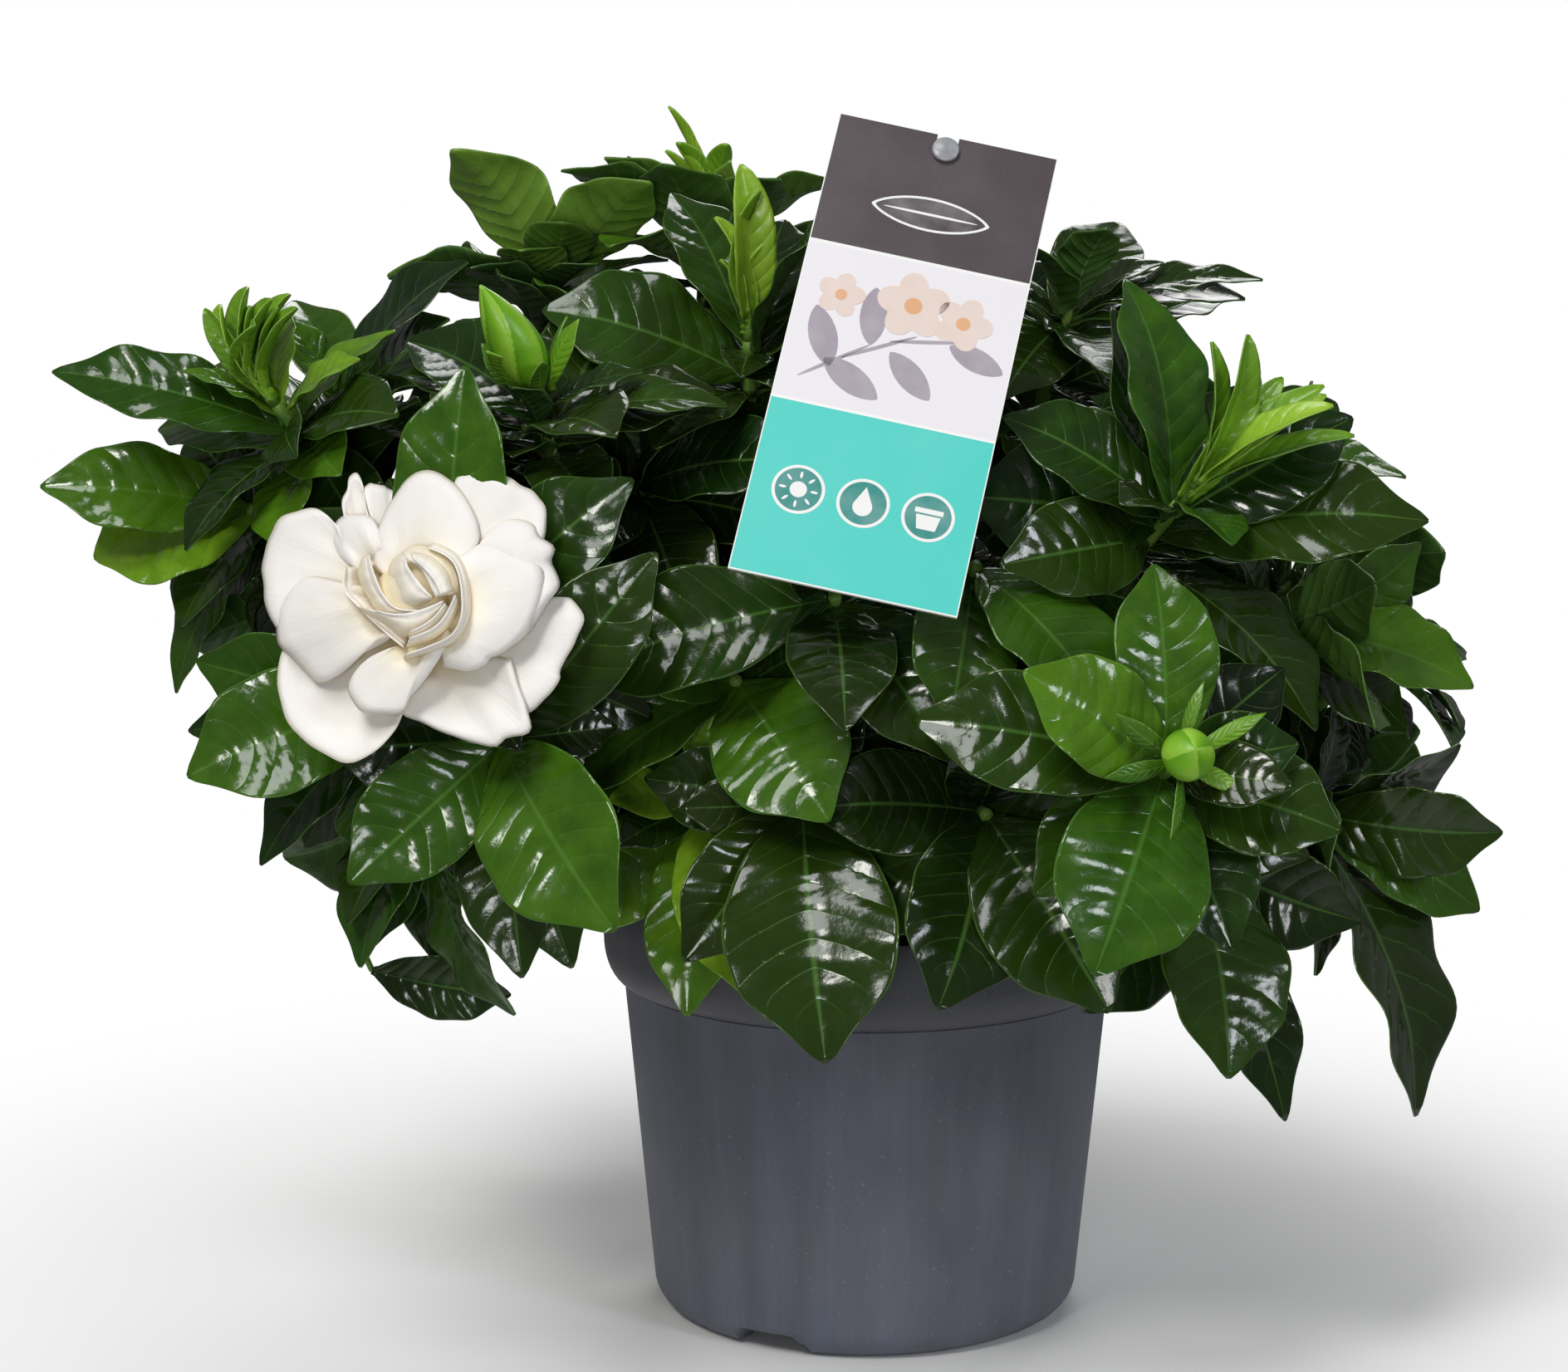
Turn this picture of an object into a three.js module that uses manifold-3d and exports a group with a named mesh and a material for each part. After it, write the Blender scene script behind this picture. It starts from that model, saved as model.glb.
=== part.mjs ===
// A potted gardenia: nursery pot, soil, forking woody stems, leafy shoots, one double bloom, three buds
// and a card label on a stake. Millimetres, +Z up, -Y is the front. The origin is on the pot's axis, in the
// plane that the pot stands on.
import * as THREE from "three";
import { mergeVertices } from "three/addons/utils/BufferGeometryUtils.js";
import Module from "manifold-3d";

const wasm = await Module();
wasm.setup();

// Pot
const potHeight = 116;
const potFootRadius = 58.5;
const potCornerRadius = 8;
const potNeckRadius = 66.5;
const potNeckHeight = 92;
const potRimRadius = 72;
const potCollarHeight = 103;
const potWall = 1.2;
const potFloorHeight = 6;
const potPadRadius = 12;
const potSegments = 30;
const footNotches = [-27, 93, 213];
const footNotchAngle = 22;
const drainHoles = 6;
const drainHoleRadius = 4;
const drainRingRadius = 36;

// Soil and the woody stems that stand in it
const soilTop = 102;
const gap = 0.3;
const trunkRadius = 3.6;
const trunkDepth = 24;
const trunkRise = 16;
const trunkPlaces = { left: [-24, -18], right: [28, -14], backLeft: [-22, 22], backRight: [26, 24] };
const twigRadius = 2.1;
const twigSteps = 3;

// Leafy shoots. A leaf keeps leafClearance from what stands already, but may touch the leaves of its own
// shoot over the first siblingShare of its length, where they share the stem.
const stemRadius = 1.7;
const stemFootRadius = 1.9;
const stemSides = 3;
const leafThickness = 0.8;
const leafClearance = 0.7;
const siblingShare = 0.2;
const firstLeaf = 1.5;
const nodeSpacing = 2.1;
const rootOffset = 0.7;
const leafArch = 0.09;
const leafFold = 0.22;
const leafStations = [0.34, 0.73];
const slimStations = [0.42];

// Label and its stake
const cardWidth = 56;
const cardHeight = 128;
const cardThickness = 0.8;
const cardFoot = [-6, -115, 212];
const cardHead = [20, -50, 319];
const cardTurn = 4;
const cardNotchWidth = 5.5;
const cardNotchDepth = 7;
const stakeWidth = 3;
const stakeThickness = 1.2;
const stakeHeadRadius = 3.4;
const stakeHeadDepth = 1.2;
const stakeFoot = [8, -4, 60];

const vec = (p) => new THREE.Vector3(...p);
const radians = THREE.MathUtils.degToRad;

// A direction from a compass-like bearing (0 to the front, 90 to the viewer's right) and a pitch above level.
function heading([bearing, pitch]) {
  const b = radians(bearing);
  const p = radians(pitch);
  return vec([Math.sin(b) * Math.cos(p), -Math.cos(b) * Math.cos(p), Math.sin(p)]);
}

// Each shoot: which trunk carries it, its tip, the heading of its green stem and the length of that stem.
// leaves: [bearing, pitch, length, width, roll], from the youngest pair at the tip down the stem.
// fill: how many more leaves a rule adds round the stem. young: the narrow new leaves of a flush.
const shoots = {
  roundBud: {
    trunk: "right", tip: [73, -118, 171], aim: [12, 22], stem: 34,
    leaves: [
      [-88, 11, 62, 30], [-64, 34, 47, 27], [-170, 74, 50, 26], [-30, -50, 55, 38],
      [74, 16, 34, 22], [-56, -34, 44, 26], [72, -12, 46, 28], [-74, 8, 27, 16], [40, -52, 46, 27],
    ],
  },
  underLabel: {
    trunk: "left", tip: [-8, -82, 207], aim: [4, 34], stem: 26,
    leaves: [
      [-86, -16, 68, 32], [38, -36, 56, 29], [4, -34, 52, 27], [84, -14, 54, 28], [-30, 60, 40, 22],
    ],
  },
  topRight: {
    trunk: "right", tip: [78, -68, 229], aim: [44, 46], stem: 34,
    leaves: [
      [30, -14, 25, 19], [-150, 70, 61, 28], [-80, 32, 49, 25, -20], [84, 30, 54, 28, 15],
      [-74, 10, 50, 33, -30], [80, 5, 68, 30, 22], [-64, -3, 50, 26, -20], [62, 0, 38, 17, 15],
      [-150, 78, 62, 20], [60, -38, 64, 32],
    ],
    young: [[60, 58, 38, 9], [74, 40, 44, 8], [80, 20, 43, 7], [20, 74, 38, 8], [100, 50, 34, 8]],
  },
  bloomRosette: {
    trunk: "left", tip: [-103, -96, 199], aim: [-12, 20], stem: 26,
    leaves: [
      [-60, 70, 66, 29], [30, 66, 52, 25], [84, 42, 60, 28], [-60, 50, 46, 24], [72, 24, 46, 30],
      [-84, 18, 50, 26], [90, -22, 50, 26],
    ],
  },
  frontLeft: {
    trunk: "left", tip: [-90, -100, 173], aim: [-8, 2], stem: 30,
    leaves: [
      [38, -38, 62, 36], [-56, -36, 52, 28], [80, 50, 62, 26], [12, -64, 60, 27], [34, -60, 60, 27],
      [-70, 0, 46, 26],
    ],
  },
  frontCentre: {
    trunk: "left", tip: [-16, -86, 155], aim: [0, 4], stem: 24,
    leaves: [
      [9, -54, 68, 43], [-52, -44, 50, 26], [66, -34, 50, 28], [-80, 10, 40, 22],
    ],
  },
  midBright: {
    trunk: "left", tip: [-33, -76, 185], aim: [-10, 26], stem: 24,
    leaves: [
      [36, -36, 49, 35], [-60, 14, 44, 24], [-75, -24, 48, 26], [60, 28, 40, 24], [-20, 50, 40, 22],
    ],
  },
  farLeft: {
    trunk: "left", tip: [-153, -40, 251], aim: [-60, 50], stem: 30,
    leaves: [
      [170, 68, 25, 17], [70, 35, 26, 16], [-80, 28, 30, 9], [112, 42, 36, 20],
      [-84, 14, 66, 30, -22], [25, -12, 32, 19], [-112, 4, 46, 26], [-10, -30, 36, 22],
    ],
    young: [[-30, 72, 22, 5], [30, 75, 20, 5], [-75, 55, 24, 4], [60, 60, 20, 5]],
  },
  lowerLeft: {
    trunk: "left", tip: [-164, -22, 222], aim: [-38, 26], stem: 30,
    leaves: [
      [-76, 16, 55, 31], [-80, -14, 44, 26], [60, 52, 40, 22], [-72, -60, 52, 16],
      [150, 40, 46, 24], [-130, -6, 48, 26],
    ],
  },
  leftLow: {
    trunk: "left", tip: [-122, -68, 177], aim: [-42, 6], stem: 28,
    leaves: [
      [-70, -16, 54, 34], [-84, 12, 52, 26], [-72, -46, 54, 20], [-10, -44, 48, 26],
      [-92, -8, 62, 20], [-100, -50, 50, 26],
    ],
  },
  topCentre: {
    trunk: "left", tip: [-31, -30, 267], aim: [0, 76], stem: 28,
    leaves: [
      [-138, 60, 50, 23], [62, 60, 50, 25], [165, 48, 48, 25], [22, -8, 28, 17],
      [-82, 19, 56, 33, -38], [100, 25, 48, 25], [-30, -14, 46, 25], [-120, 22, 52, 28],
    ],
    young: [[-20, 74, 24, 5], [-60, 66, 20, 5], [30, 70, 22, 5]],
  },
  crownLeft: {
    trunk: "backLeft", tip: [-88, 30, 281], aim: [176, 58], stem: 30,
    leaves: [
      [-58, 52, 46, 29], [62, 42, 44, 27], [-10, 26, 30, 19], [120, 62, 32, 14], [-78, 12, 44, 24],
      [30, 0, 50, 28], [-150, 16, 52, 28], [150, 8, 52, 28],
    ],
  },
  bigBud: {
    trunk: "left", tip: [-83, -60, 252], aim: [-25, 66], stem: 26,
    leaves: [
      [82, 22, 28, 12], [-98, 30, 40, 34], [78, 8, 48, 18], [-50, -6, 38, 22], [150, 38, 50, 28],
      [-140, 20, 46, 30], [20, -14, 40, 22],
    ],
  },
  topLeft: {
    trunk: "backLeft", tip: [-143, 4, 249], aim: [-20, 62], stem: 28,
    leaves: [
      [72, 46, 54, 29], [-60, 58, 30, 12], [-150, 40, 46, 24], [-100, 20, 52, 27],
      [150, 30, 50, 26], [30, 5, 44, 24],
    ],
  },
  frontMid: {
    trunk: "right", tip: [30, -88, 153], aim: [10, 0], stem: 26,
    leaves: [
      [42, -44, 60, 36], [-12, -50, 54, 34], [-64, -10, 48, 27], [70, -6, 50, 28], [10, 44, 44, 26],
    ],
  },
  rightLow: {
    trunk: "right", tip: [118, -45, 145], aim: [58, -8], stem: 30,
    leaves: [
      [80, -4, 48, 25], [86, -30, 55, 20], [56, -64, 84, 32], [-24, -10, 45, 28], [68, 22, 48, 26],
      [130, -20, 50, 26], [10, -50, 50, 26],
    ],
  },
  frontRight: {
    trunk: "right", tip: [82, -84, 141], aim: [24, -12], stem: 30,
    leaves: [
      [14, -58, 57, 30], [58, -66, 70, 18], [-40, -40, 52, 30], [70, -20, 48, 26],
      [-60, -6, 48, 28],
    ],
  },
  right: {
    trunk: "right", tip: [113, -40, 193], aim: [62, 12], stem: 32,
    leaves: [
      [80, -16, 47, 28], [22, -20, 50, 28], [104, 30, 44, 20], [-30, 10, 44, 25], [140, 18, 50, 28],
      [50, 24, 42, 24], [100, -30, 50, 27],
    ],
  },
  labelRight: {
    trunk: "right", tip: [27, -82, 215], aim: [24, 46], stem: 28,
    leaves: [
      [52, -38, 50, 31], [-10, -50, 48, 27], [80, 14, 50, 27], [100, -20, 50, 26],
    ],
  },
  gapYoung: {
    trunk: "left", tip: [-42, -66, 153], aim: [-4, 34], stem: 22,
    leaves: [
      [-60, 6, 26, 14], [82, 20, 33, 16], [22, -50, 55, 26], [-8, -62, 54, 25], [-70, -30, 48, 26],
      [-90, 30, 40, 20],
    ],
    young: [[-20, 76, 25, 6], [30, 70, 23, 6]],
  },
  hangLeft: {
    trunk: "left", tip: [-114, -60, 149], aim: [-38, -24], stem: 26,
    leaves: [
      [42, -55, 60, 21], [-34, -52, 48, 24], [-84, -24, 52, 26], [-70, -62, 44, 22],
      [10, -70, 50, 24], [-130, -20, 48, 26],
    ],
  },
  crown: {
    trunk: "backLeft", tip: [-45, 45, 293], aim: [170, 72], stem: 30,
    leaves: [
      [-110, 60, 32, 18], [34, 62, 26, 8], [-60, 40, 40, 22], [90, 30, 44, 24], [170, 30, 46, 24],
      [-30, 10, 48, 26], [-130, 12, 52, 27], [110, 5, 52, 27],
    ],
    young: [[-100, 60, 24, 6], [-140, 66, 22, 6], [-70, 66, 20, 5]],
  },
  behindLabel: {
    trunk: "backRight", tip: [55, 18, 275], aim: [30, 64], stem: 34,
    leaves: [
      [22, 44, 32, 16], [-30, 36, 36, 20], [82, 12, 54, 16], [-24, -20, 48, 26], [-100, 30, 46, 24],
      [150, 40, 48, 25], [110, 14, 52, 27], [-150, 14, 50, 26],
    ],
  },
  shoulder: {
    trunk: "right", tip: [98, -6, 229], aim: [70, 44], stem: 34,
    leaves: [
      [84, 4, 46, 26], [20, 10, 50, 26], [130, 26, 50, 26], [-40, 22, 46, 25], [60, 42, 44, 22],
      [170, 14, 48, 26], [90, -24, 50, 26],
    ],
  },
  midLeft: {
    trunk: "left", tip: [-60, -40, 231], aim: [-10, 44], stem: 26,
    leaves: [
      [60, 10, 50, 27], [-30, -14, 46, 26], [90, -14, 52, 27], [20, -34, 50, 27], [110, 30, 46, 25],
      [150, 20, 46, 25],
    ],
  },
  rightEdge: {
    trunk: "backRight", tip: [140, 4, 182], aim: [84, 44], stem: 24,
    leaves: [[76, 76, 30, 18], [120, 0, 32, 20], [30, -26, 42, 24], [-20, 34, 36, 20], [150, 10, 46, 25]],
  },
  backA: { trunk: "backRight", tip: [128, 40, 199], aim: [108, 24], stem: 34, fill: 8 },
  backB: { trunk: "backRight", tip: [92, 96, 179], aim: [140, 10], stem: 34, fill: 8 },
  backC: { trunk: "backRight", tip: [58, 84, 241], aim: [148, 42], stem: 34, fill: 8 },
  backD: { trunk: "backRight", tip: [14, 112, 189], aim: [174, 14], stem: 34, fill: 8 },
  backE: { trunk: "backRight", tip: [8, 60, 277], aim: [165, 64], stem: 34, fill: 8 },
  backF: { trunk: "backLeft", tip: [-44, 104, 219], aim: [-164, 30], stem: 34, fill: 8 },
  backG: { trunk: "backLeft", tip: [-100, 88, 181], aim: [-136, 8], stem: 34, fill: 8 },
  backH: { trunk: "backLeft", tip: [-104, 66, 235], aim: [-128, 40], stem: 34, fill: 8 },
  backI: { trunk: "backLeft", tip: [-150, 30, 193], aim: [-104, 12], stem: 34, fill: 8 },
  backJ: { trunk: "backRight", tip: [118, 24, 153], aim: [110, -8], stem: 30, fill: 7 },
  backK: { trunk: "backRight", tip: [48, 92, 151], aim: [158, -10], stem: 28, fill: 7 },
  backL: { trunk: "backLeft", tip: [-50, 88, 149], aim: [-156, -12], stem: 28, fill: 7 },
};

// The sizes that the rule draws its leaves from
const ruleLeaf = {
  shortest: 46, longest: 64, narrowest: 0.48, broadest: 0.56, turn: 137.5, spread: 48, spreadStep: 9,
  newest: 2, newestSize: 0.7,
};

// A leaf that would cross something else is turned, lifted, rolled or shortened by the first of these that
// leaves it clear: [bearing, pitch, roll, share of its length].
const bends = [[0, 0, 0, 1]];
for (const size of [1, 0.86, 0.72]) {
  for (const turn of [0, -7, 7, -14, 14, -22, 22, -30, 30]) {
    for (const lift of [0, 8, -8, 16, -16, 25, -25]) {
      for (const roll of [0, 25, -25]) {
        bends.push([turn, lift, roll, size]);
      }
    }
  }
}
const bendCost = ([turn, lift, roll, size]) =>
  Math.abs(turn) + Math.abs(lift) + 0.35 * Math.abs(roll) + 90 * (1 - size) + (roll > 0 ? 0.1 : 0) +
  (lift < 0 ? 0.01 : 0) + (turn < 0 ? 0.001 : 0);
bends.sort((a, b) => bendCost(a) - bendCost(b));

// Seeded draws, the same on every run
function seededDraws(seed) {
  let state = seed;
  return () => {
    state = (state * 16807) % 2147483647;
    return state / 2147483647;
  };
}

// Closed geometry from a list of corners and a list of triangles
function closedGeometry(corners, faces) {
  const geometry = new THREE.BufferGeometry();
  const values = corners.flatMap((corner) => corner.toArray());
  geometry.setAttribute("position", new THREE.Float32BufferAttribute(values, 3));
  geometry.setIndex(faces.flat());
  return geometry;
}

// A thin closed blade: rows of points across it, from root to tip, each with its own normal. Both faces are
// split into the same triangles. A row of one point is a sharp end.
function sheet(rows, normals, thickness) {
  const corners = [];
  const faces = [];
  const starts = [];
  rows.forEach((row, i) => {
    starts.push(corners.length);
    row.forEach((point, j) => {
      const offset = normals[i][j].clone().multiplyScalar(row.length > 1 ? thickness / 2 : 0);
      corners.push(point.clone().add(offset));
      if (row.length > 1) corners.push(point.clone().sub(offset));
    });
  });
  const pointed = new Set(starts.filter((_, i) => rows[i].length === 1));
  const upper = (i, j) => starts[i] + 2 * Math.min(j, rows[i].length - 1);
  const under = (a) => (pointed.has(a) ? a : a + 1);
  const add = (a, b, c) => faces.push([a, b, c], [under(a), under(c), under(b)]);
  const wall = (a, b) => {
    if (pointed.has(a)) faces.push([a, under(b), b]);
    else if (pointed.has(b)) faces.push([a, under(a), b]);
    else faces.push([a, under(a), under(b)], [a, under(b), b]);
  };
  for (let i = 0; i + 1 < rows.length; i++) {
    const columns = Math.max(rows[i].length, rows[i + 1].length);
    for (let j = 0; j + 1 < columns; j++) {
      const [a, b, c, d] = [upper(i, j), upper(i, j + 1), upper(i + 1, j + 1), upper(i + 1, j)];
      if (a === b) {
        add(a, c, d);
      } else if (c === d) {
        add(a, b, c);
      } else if (2 * j < columns - 1) {
        add(a, b, c);
        add(a, c, d);
      } else {
        add(a, b, d);
        add(b, c, d);
      }
    }
    wall(upper(i + 1, 0), upper(i, 0));
    wall(upper(i, columns - 1), upper(i + 1, columns - 1));
  }
  for (const i of [0, rows.length - 1]) {
    for (let j = 0; j + 1 < rows[i].length; j++) {
      if (i === 0) wall(upper(i, j), upper(i, j + 1));
      else wall(upper(i, j + 1), upper(i, j));
    }
  }
  return closedGeometry(corners, faces);
}

// A closed body through rings of the same number of points, with a fan over each end
function ringBody(rings) {
  const sides = rings[0].length;
  const corners = rings.flat();
  const faces = [];
  const at = (i, j) => i * sides + (j % sides);
  for (let i = 0; i + 1 < rings.length; i++) {
    for (let j = 0; j < sides; j++) {
      faces.push([at(i, j), at(i, j + 1), at(i + 1, j + 1)], [at(i, j), at(i + 1, j + 1), at(i + 1, j)]);
    }
  }
  const last = rings.length - 1;
  for (let j = 1; j + 1 < sides; j++) {
    faces.push([at(0, 0), at(0, j + 1), at(0, j)], [at(last, 0), at(last, j), at(last, j + 1)]);
  }
  return closedGeometry(corners, faces);
}

// Two directions square to an axis and to each other
function crossAxes(axis) {
  const up = Math.abs(axis.z) > 0.9 ? vec([1, 0, 0]) : vec([0, 0, 1]);
  const side = new THREE.Vector3().crossVectors(axis, up).normalize();
  return [side, new THREE.Vector3().crossVectors(axis, side)];
}

// The direction square to an axis at a turn round it
function outward(axis, turn) {
  const [side, over] = crossAxes(axis);
  return side.multiplyScalar(Math.cos(turn)).addScaledVector(over, Math.sin(turn));
}

// The bearing and pitch of a direction that leans away from an axis by spread degrees
function leaning(axis, turn, spread) {
  const along = axis.clone().multiplyScalar(Math.cos(radians(spread)));
  along.addScaledVector(outward(axis, turn), Math.sin(radians(spread)));
  return [Math.atan2(along.x, -along.y), Math.asin(along.z)].map(THREE.MathUtils.radToDeg);
}

function ring(centre, axis, radius, sides, wave = () => 1) {
  return Array.from({ length: sides }, (_, j) => {
    const turn = (2 * Math.PI * j) / sides;
    return centre.clone().addScaledVector(outward(axis, turn), radius * wave(turn));
  });
}

function taperedTube(points, radii, sides, axis = null) {
  const rings = points.map((point, i) => {
    const along = new THREE.Vector3()
      .subVectors(points[Math.min(i + 1, points.length - 1)], points[Math.max(i - 1, 0)])
      .normalize();
    return ring(point, axis ?? along, radii[i], sides);
  });
  return ringBody(rings);
}

function solid(geometry) {
  const bare = geometry.clone();
  bare.deleteAttribute("normal");
  bare.deleteAttribute("uv");
  const merged = mergeVertices(bare, 1e-4);
  const mesh = new wasm.Mesh({
    numProp: 3,
    vertProperties: new Float32Array(merged.attributes.position.array),
    triVerts: new Uint32Array(merged.index.array),
  });
  return new wasm.Manifold(mesh);
}

// One body out of many: hollows that the joints would seal are filled and loose scraps are dropped
function fuse(geometries) {
  const whole = geometries.map(solid).reduce((sum, piece) => sum.add(piece));
  return whole.decompose().reduce((best, piece) => (piece.volume() > best.volume() ? piece : best));
}

function geometryOf(body) {
  const mesh = body.getMesh();
  const geometry = new THREE.BufferGeometry();
  geometry.setAttribute("position", new THREE.BufferAttribute(new Float32Array(mesh.vertProperties), 3));
  geometry.setIndex(new THREE.BufferAttribute(new Uint32Array(mesh.triVerts), 1));
  return geometry;
}

const materials = {
  plastic: new THREE.MeshStandardMaterial({ color: "#4a4d57", roughness: 0.55, metalness: 0 }),
  soil: new THREE.MeshStandardMaterial({ color: "#2a1f18", roughness: 1, metalness: 0 }),
  bark: new THREE.MeshStandardMaterial({ color: "#5a4a34", roughness: 0.9, metalness: 0 }),
  leaf: new THREE.MeshStandardMaterial({ color: "#2f5a1e", roughness: 0.3, metalness: 0 }),
  youngLeaf: new THREE.MeshStandardMaterial({ color: "#6aa62e", roughness: 0.35, metalness: 0 }),
  bud: new THREE.MeshStandardMaterial({ color: "#6fb31e", roughness: 0.35, metalness: 0 }),
  petal: new THREE.MeshStandardMaterial({ color: "#f4efee", roughness: 0.6, metalness: 0 }),
  card: new THREE.MeshStandardMaterial({ color: "#6bd8cc", roughness: 0.35, metalness: 0 }),
  clearPlastic: new THREE.MeshStandardMaterial({ color: "#c9cbd0", roughness: 0.3, metalness: 0 }),
};

const part = new THREE.Group();

function addNode(name, geometry, material) {
  const own = material.clone();
  own.name = name;
  const mesh = new THREE.Mesh(geometry, own);
  mesh.name = name;
  part.add(mesh);
  return mesh;
}

// Pot: a turned shell on a raised floor, with notches under its foot and drain holes
function arc(centre, radius, from, to, steps) {
  return Array.from({ length: steps + 1 }, (_, i) => {
    const turn = radians(from + ((to - from) * i) / steps);
    return [centre[0] + radius * Math.cos(turn), centre[1] + radius * Math.sin(turn)];
  });
}

const wallRadius = (z) =>
  potFootRadius +
  ((potNeckRadius - potFootRadius) * (z - potCornerRadius)) / (potNeckHeight - potCornerRadius);

function collarInside(z) {
  const foot = potNeckHeight + potWall;
  const share = (z - foot) / (potCollarHeight - foot);
  return potNeckRadius - potWall + (potRimRadius - potNeckRadius) * share;
}

function makePot() {
  const collarCurve = potCollarHeight - potNeckHeight;
  const collarStep = potRimRadius - potNeckRadius;
  const collar = arc([0, 0], 1, -75, 0, 2).map(([c, s]) => [
    potNeckRadius + collarStep * c, potCollarHeight + collarCurve * s,
  ]);
  const floorTop = potFloorHeight + potWall;
  const inner = [
    [potRimRadius - potWall, potHeight], [potRimRadius - potWall, potCollarHeight],
    [potNeckRadius - potWall, potNeckHeight + potWall], [wallRadius(floorTop) - potWall, floorTop],
  ];
  const profile = [
    [0, 0], [potPadRadius, 0], [potPadRadius + 1, potFloorHeight],
    [potFootRadius - potCornerRadius - 2, potFloorHeight], [potFootRadius - potCornerRadius - 1, 0],
    ...arc([potFootRadius - potCornerRadius, potCornerRadius], potCornerRadius, -90, 0, 2),
    [potNeckRadius, potNeckHeight - 0.6], ...collar, [potRimRadius + 0.4, potHeight], ...inner, [0, floorTop],
  ].map(([r, z]) => new THREE.Vector2(r, z));
  const shell = solid(new THREE.LatheGeometry(profile, potSegments).rotateX(Math.PI / 2));
  let body = shell.volume() < 0 ? shell.mirror([1, 0, 0]) : shell;
  const halfWidth = potFootRadius * Math.sin(radians(footNotchAngle / 2));
  const outline = new THREE.Shape([
    new THREE.Vector2(-halfWidth - 1, -1), new THREE.Vector2(halfWidth + 1, -1),
    new THREE.Vector2(halfWidth - 2.5, potFloorHeight), new THREE.Vector2(-halfWidth + 2.5, potFloorHeight),
  ]);
  for (const bearing of footNotches) {
    const cutter = new THREE.ExtrudeGeometry(outline, { depth: 16, bevelEnabled: false });
    cutter.rotateX(Math.PI / 2).translate(0, -potFootRadius + 14, 0).rotateZ(radians(bearing));
    body = body.subtract(solid(cutter));
  }
  for (let i = 0; i < drainHoles; i++) {
    const hole = new THREE.CylinderGeometry(drainHoleRadius, drainHoleRadius, 12, 8).rotateX(Math.PI / 2);
    hole.translate(drainRingRadius, 0, potFloorHeight).rotateZ(radians((360 / drainHoles) * i + 30));
    body = body.subtract(solid(hole));
  }
  return geometryOf(body);
}

// Soil: a plug that fills the pot, uneven on top, with plain holes for the stems and the stake
function makeSoil() {
  const floorZ = potFloorHeight + potWall + gap;
  const neckZ = potNeckHeight + potWall;
  const top = [60, 40, 20, 0].map((r) => [r, soilTop]);
  const profile = [
    [0, floorZ], [wallRadius(floorZ) - potWall - gap, floorZ], [potNeckRadius - potWall - gap, neckZ - gap],
    [collarInside(soilTop - 2) - 2 * gap, soilTop - 2], ...top,
  ].map(([r, z]) => new THREE.Vector2(r, z));
  const plug = new THREE.LatheGeometry(profile, potSegments).rotateX(Math.PI / 2);
  const place = plug.getAttribute("position");
  for (let i = 0; i < place.count; i++) {
    const [x, y, z] = [place.getX(i), place.getY(i), place.getZ(i)];
    const lumps = 1.3 * Math.sin(x / 7) * Math.cos(y / 9) + 0.7 * Math.sin((x + y) / 5);
    if (z > soilTop - 1) place.setZ(i, z + lumps);
  }
  const turned = solid(plug);
  let body = turned.volume() < 0 ? turned.mirror([1, 0, 0]) : turned;
  const bore = (x, y, depth, radius) => {
    const hole = new THREE.CylinderGeometry(radius, radius, depth + 10, 6).rotateX(Math.PI / 2);
    return solid(hole.translate(x, y, soilTop - depth + (depth + 10) / 2));
  };
  for (const [x, y] of Object.values(trunkPlaces)) {
    body = body.subtract(bore(x, y, trunkDepth, trunkRadius + 0.5));
  }
  body = body.subtract(solid(stakeBlade(stakeWidth + 1, stakeThickness + 1, 0.5)));
  return geometryOf(body);
}

// Label: a thin card on a flat stake, whose round head holds the card at its notch
const cardUp = vec(cardHead).sub(vec(cardFoot)).normalize();
const cardFacing = new THREE.Vector3()
  .crossVectors(cardUp, heading([90 + cardTurn, 0]))
  .negate()
  .normalize();
const cardSide = new THREE.Vector3().crossVectors(cardUp, cardFacing).normalize();
const cardTop = vec(cardFoot).addScaledVector(cardUp, cardHeight);
const cardFrame = () => new THREE.Matrix4().makeBasis(cardSide, cardUp, cardFacing);

function makeCard() {
  const half = cardWidth / 2;
  const notch = cardNotchWidth / 2;
  const outline = new THREE.Shape();
  outline.moveTo(-half, 0);
  outline.lineTo(half, 0);
  outline.lineTo(half, cardHeight);
  outline.lineTo(notch, cardHeight);
  outline.lineTo(notch, cardHeight - cardNotchDepth + notch);
  outline.absarc(0, cardHeight - cardNotchDepth + notch, notch, 0, Math.PI, true);
  outline.lineTo(-notch, cardHeight);
  outline.lineTo(-half, cardHeight);
  outline.closePath();
  const sheetOptions = { depth: cardThickness, bevelEnabled: false, curveSegments: 6 };
  const card = new THREE.ExtrudeGeometry(outline, sheetOptions);
  return card.applyMatrix4(cardFrame()).translate(...cardFoot);
}

function stakeBlade(width, thickness, below) {
  const foot = vec(stakeFoot);
  const behind = gap + thickness / 2 + 0.4;
  const head = cardTop.clone().addScaledVector(cardUp, -2).addScaledVector(cardFacing, -behind);
  const along = new THREE.Vector3().subVectors(head, foot).normalize();
  foot.addScaledVector(along, -below);
  const side = new THREE.Vector3().crossVectors(along, cardFacing).normalize();
  const over = new THREE.Vector3().crossVectors(side, along);
  const section = (centre) =>
    [[-1, -1], [1, -1], [1, 1], [-1, 1]].map(([a, b]) =>
      centre.clone().addScaledVector(side, (a * width) / 2).addScaledVector(over, (b * thickness) / 2),
    );
  const rings = [section(foot), section(head)];
  const blade = ringBody(rings);
  return solid(blade).volume() < 0 ? ringBody(rings.map((r) => r.toReversed())) : blade;
}

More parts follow.
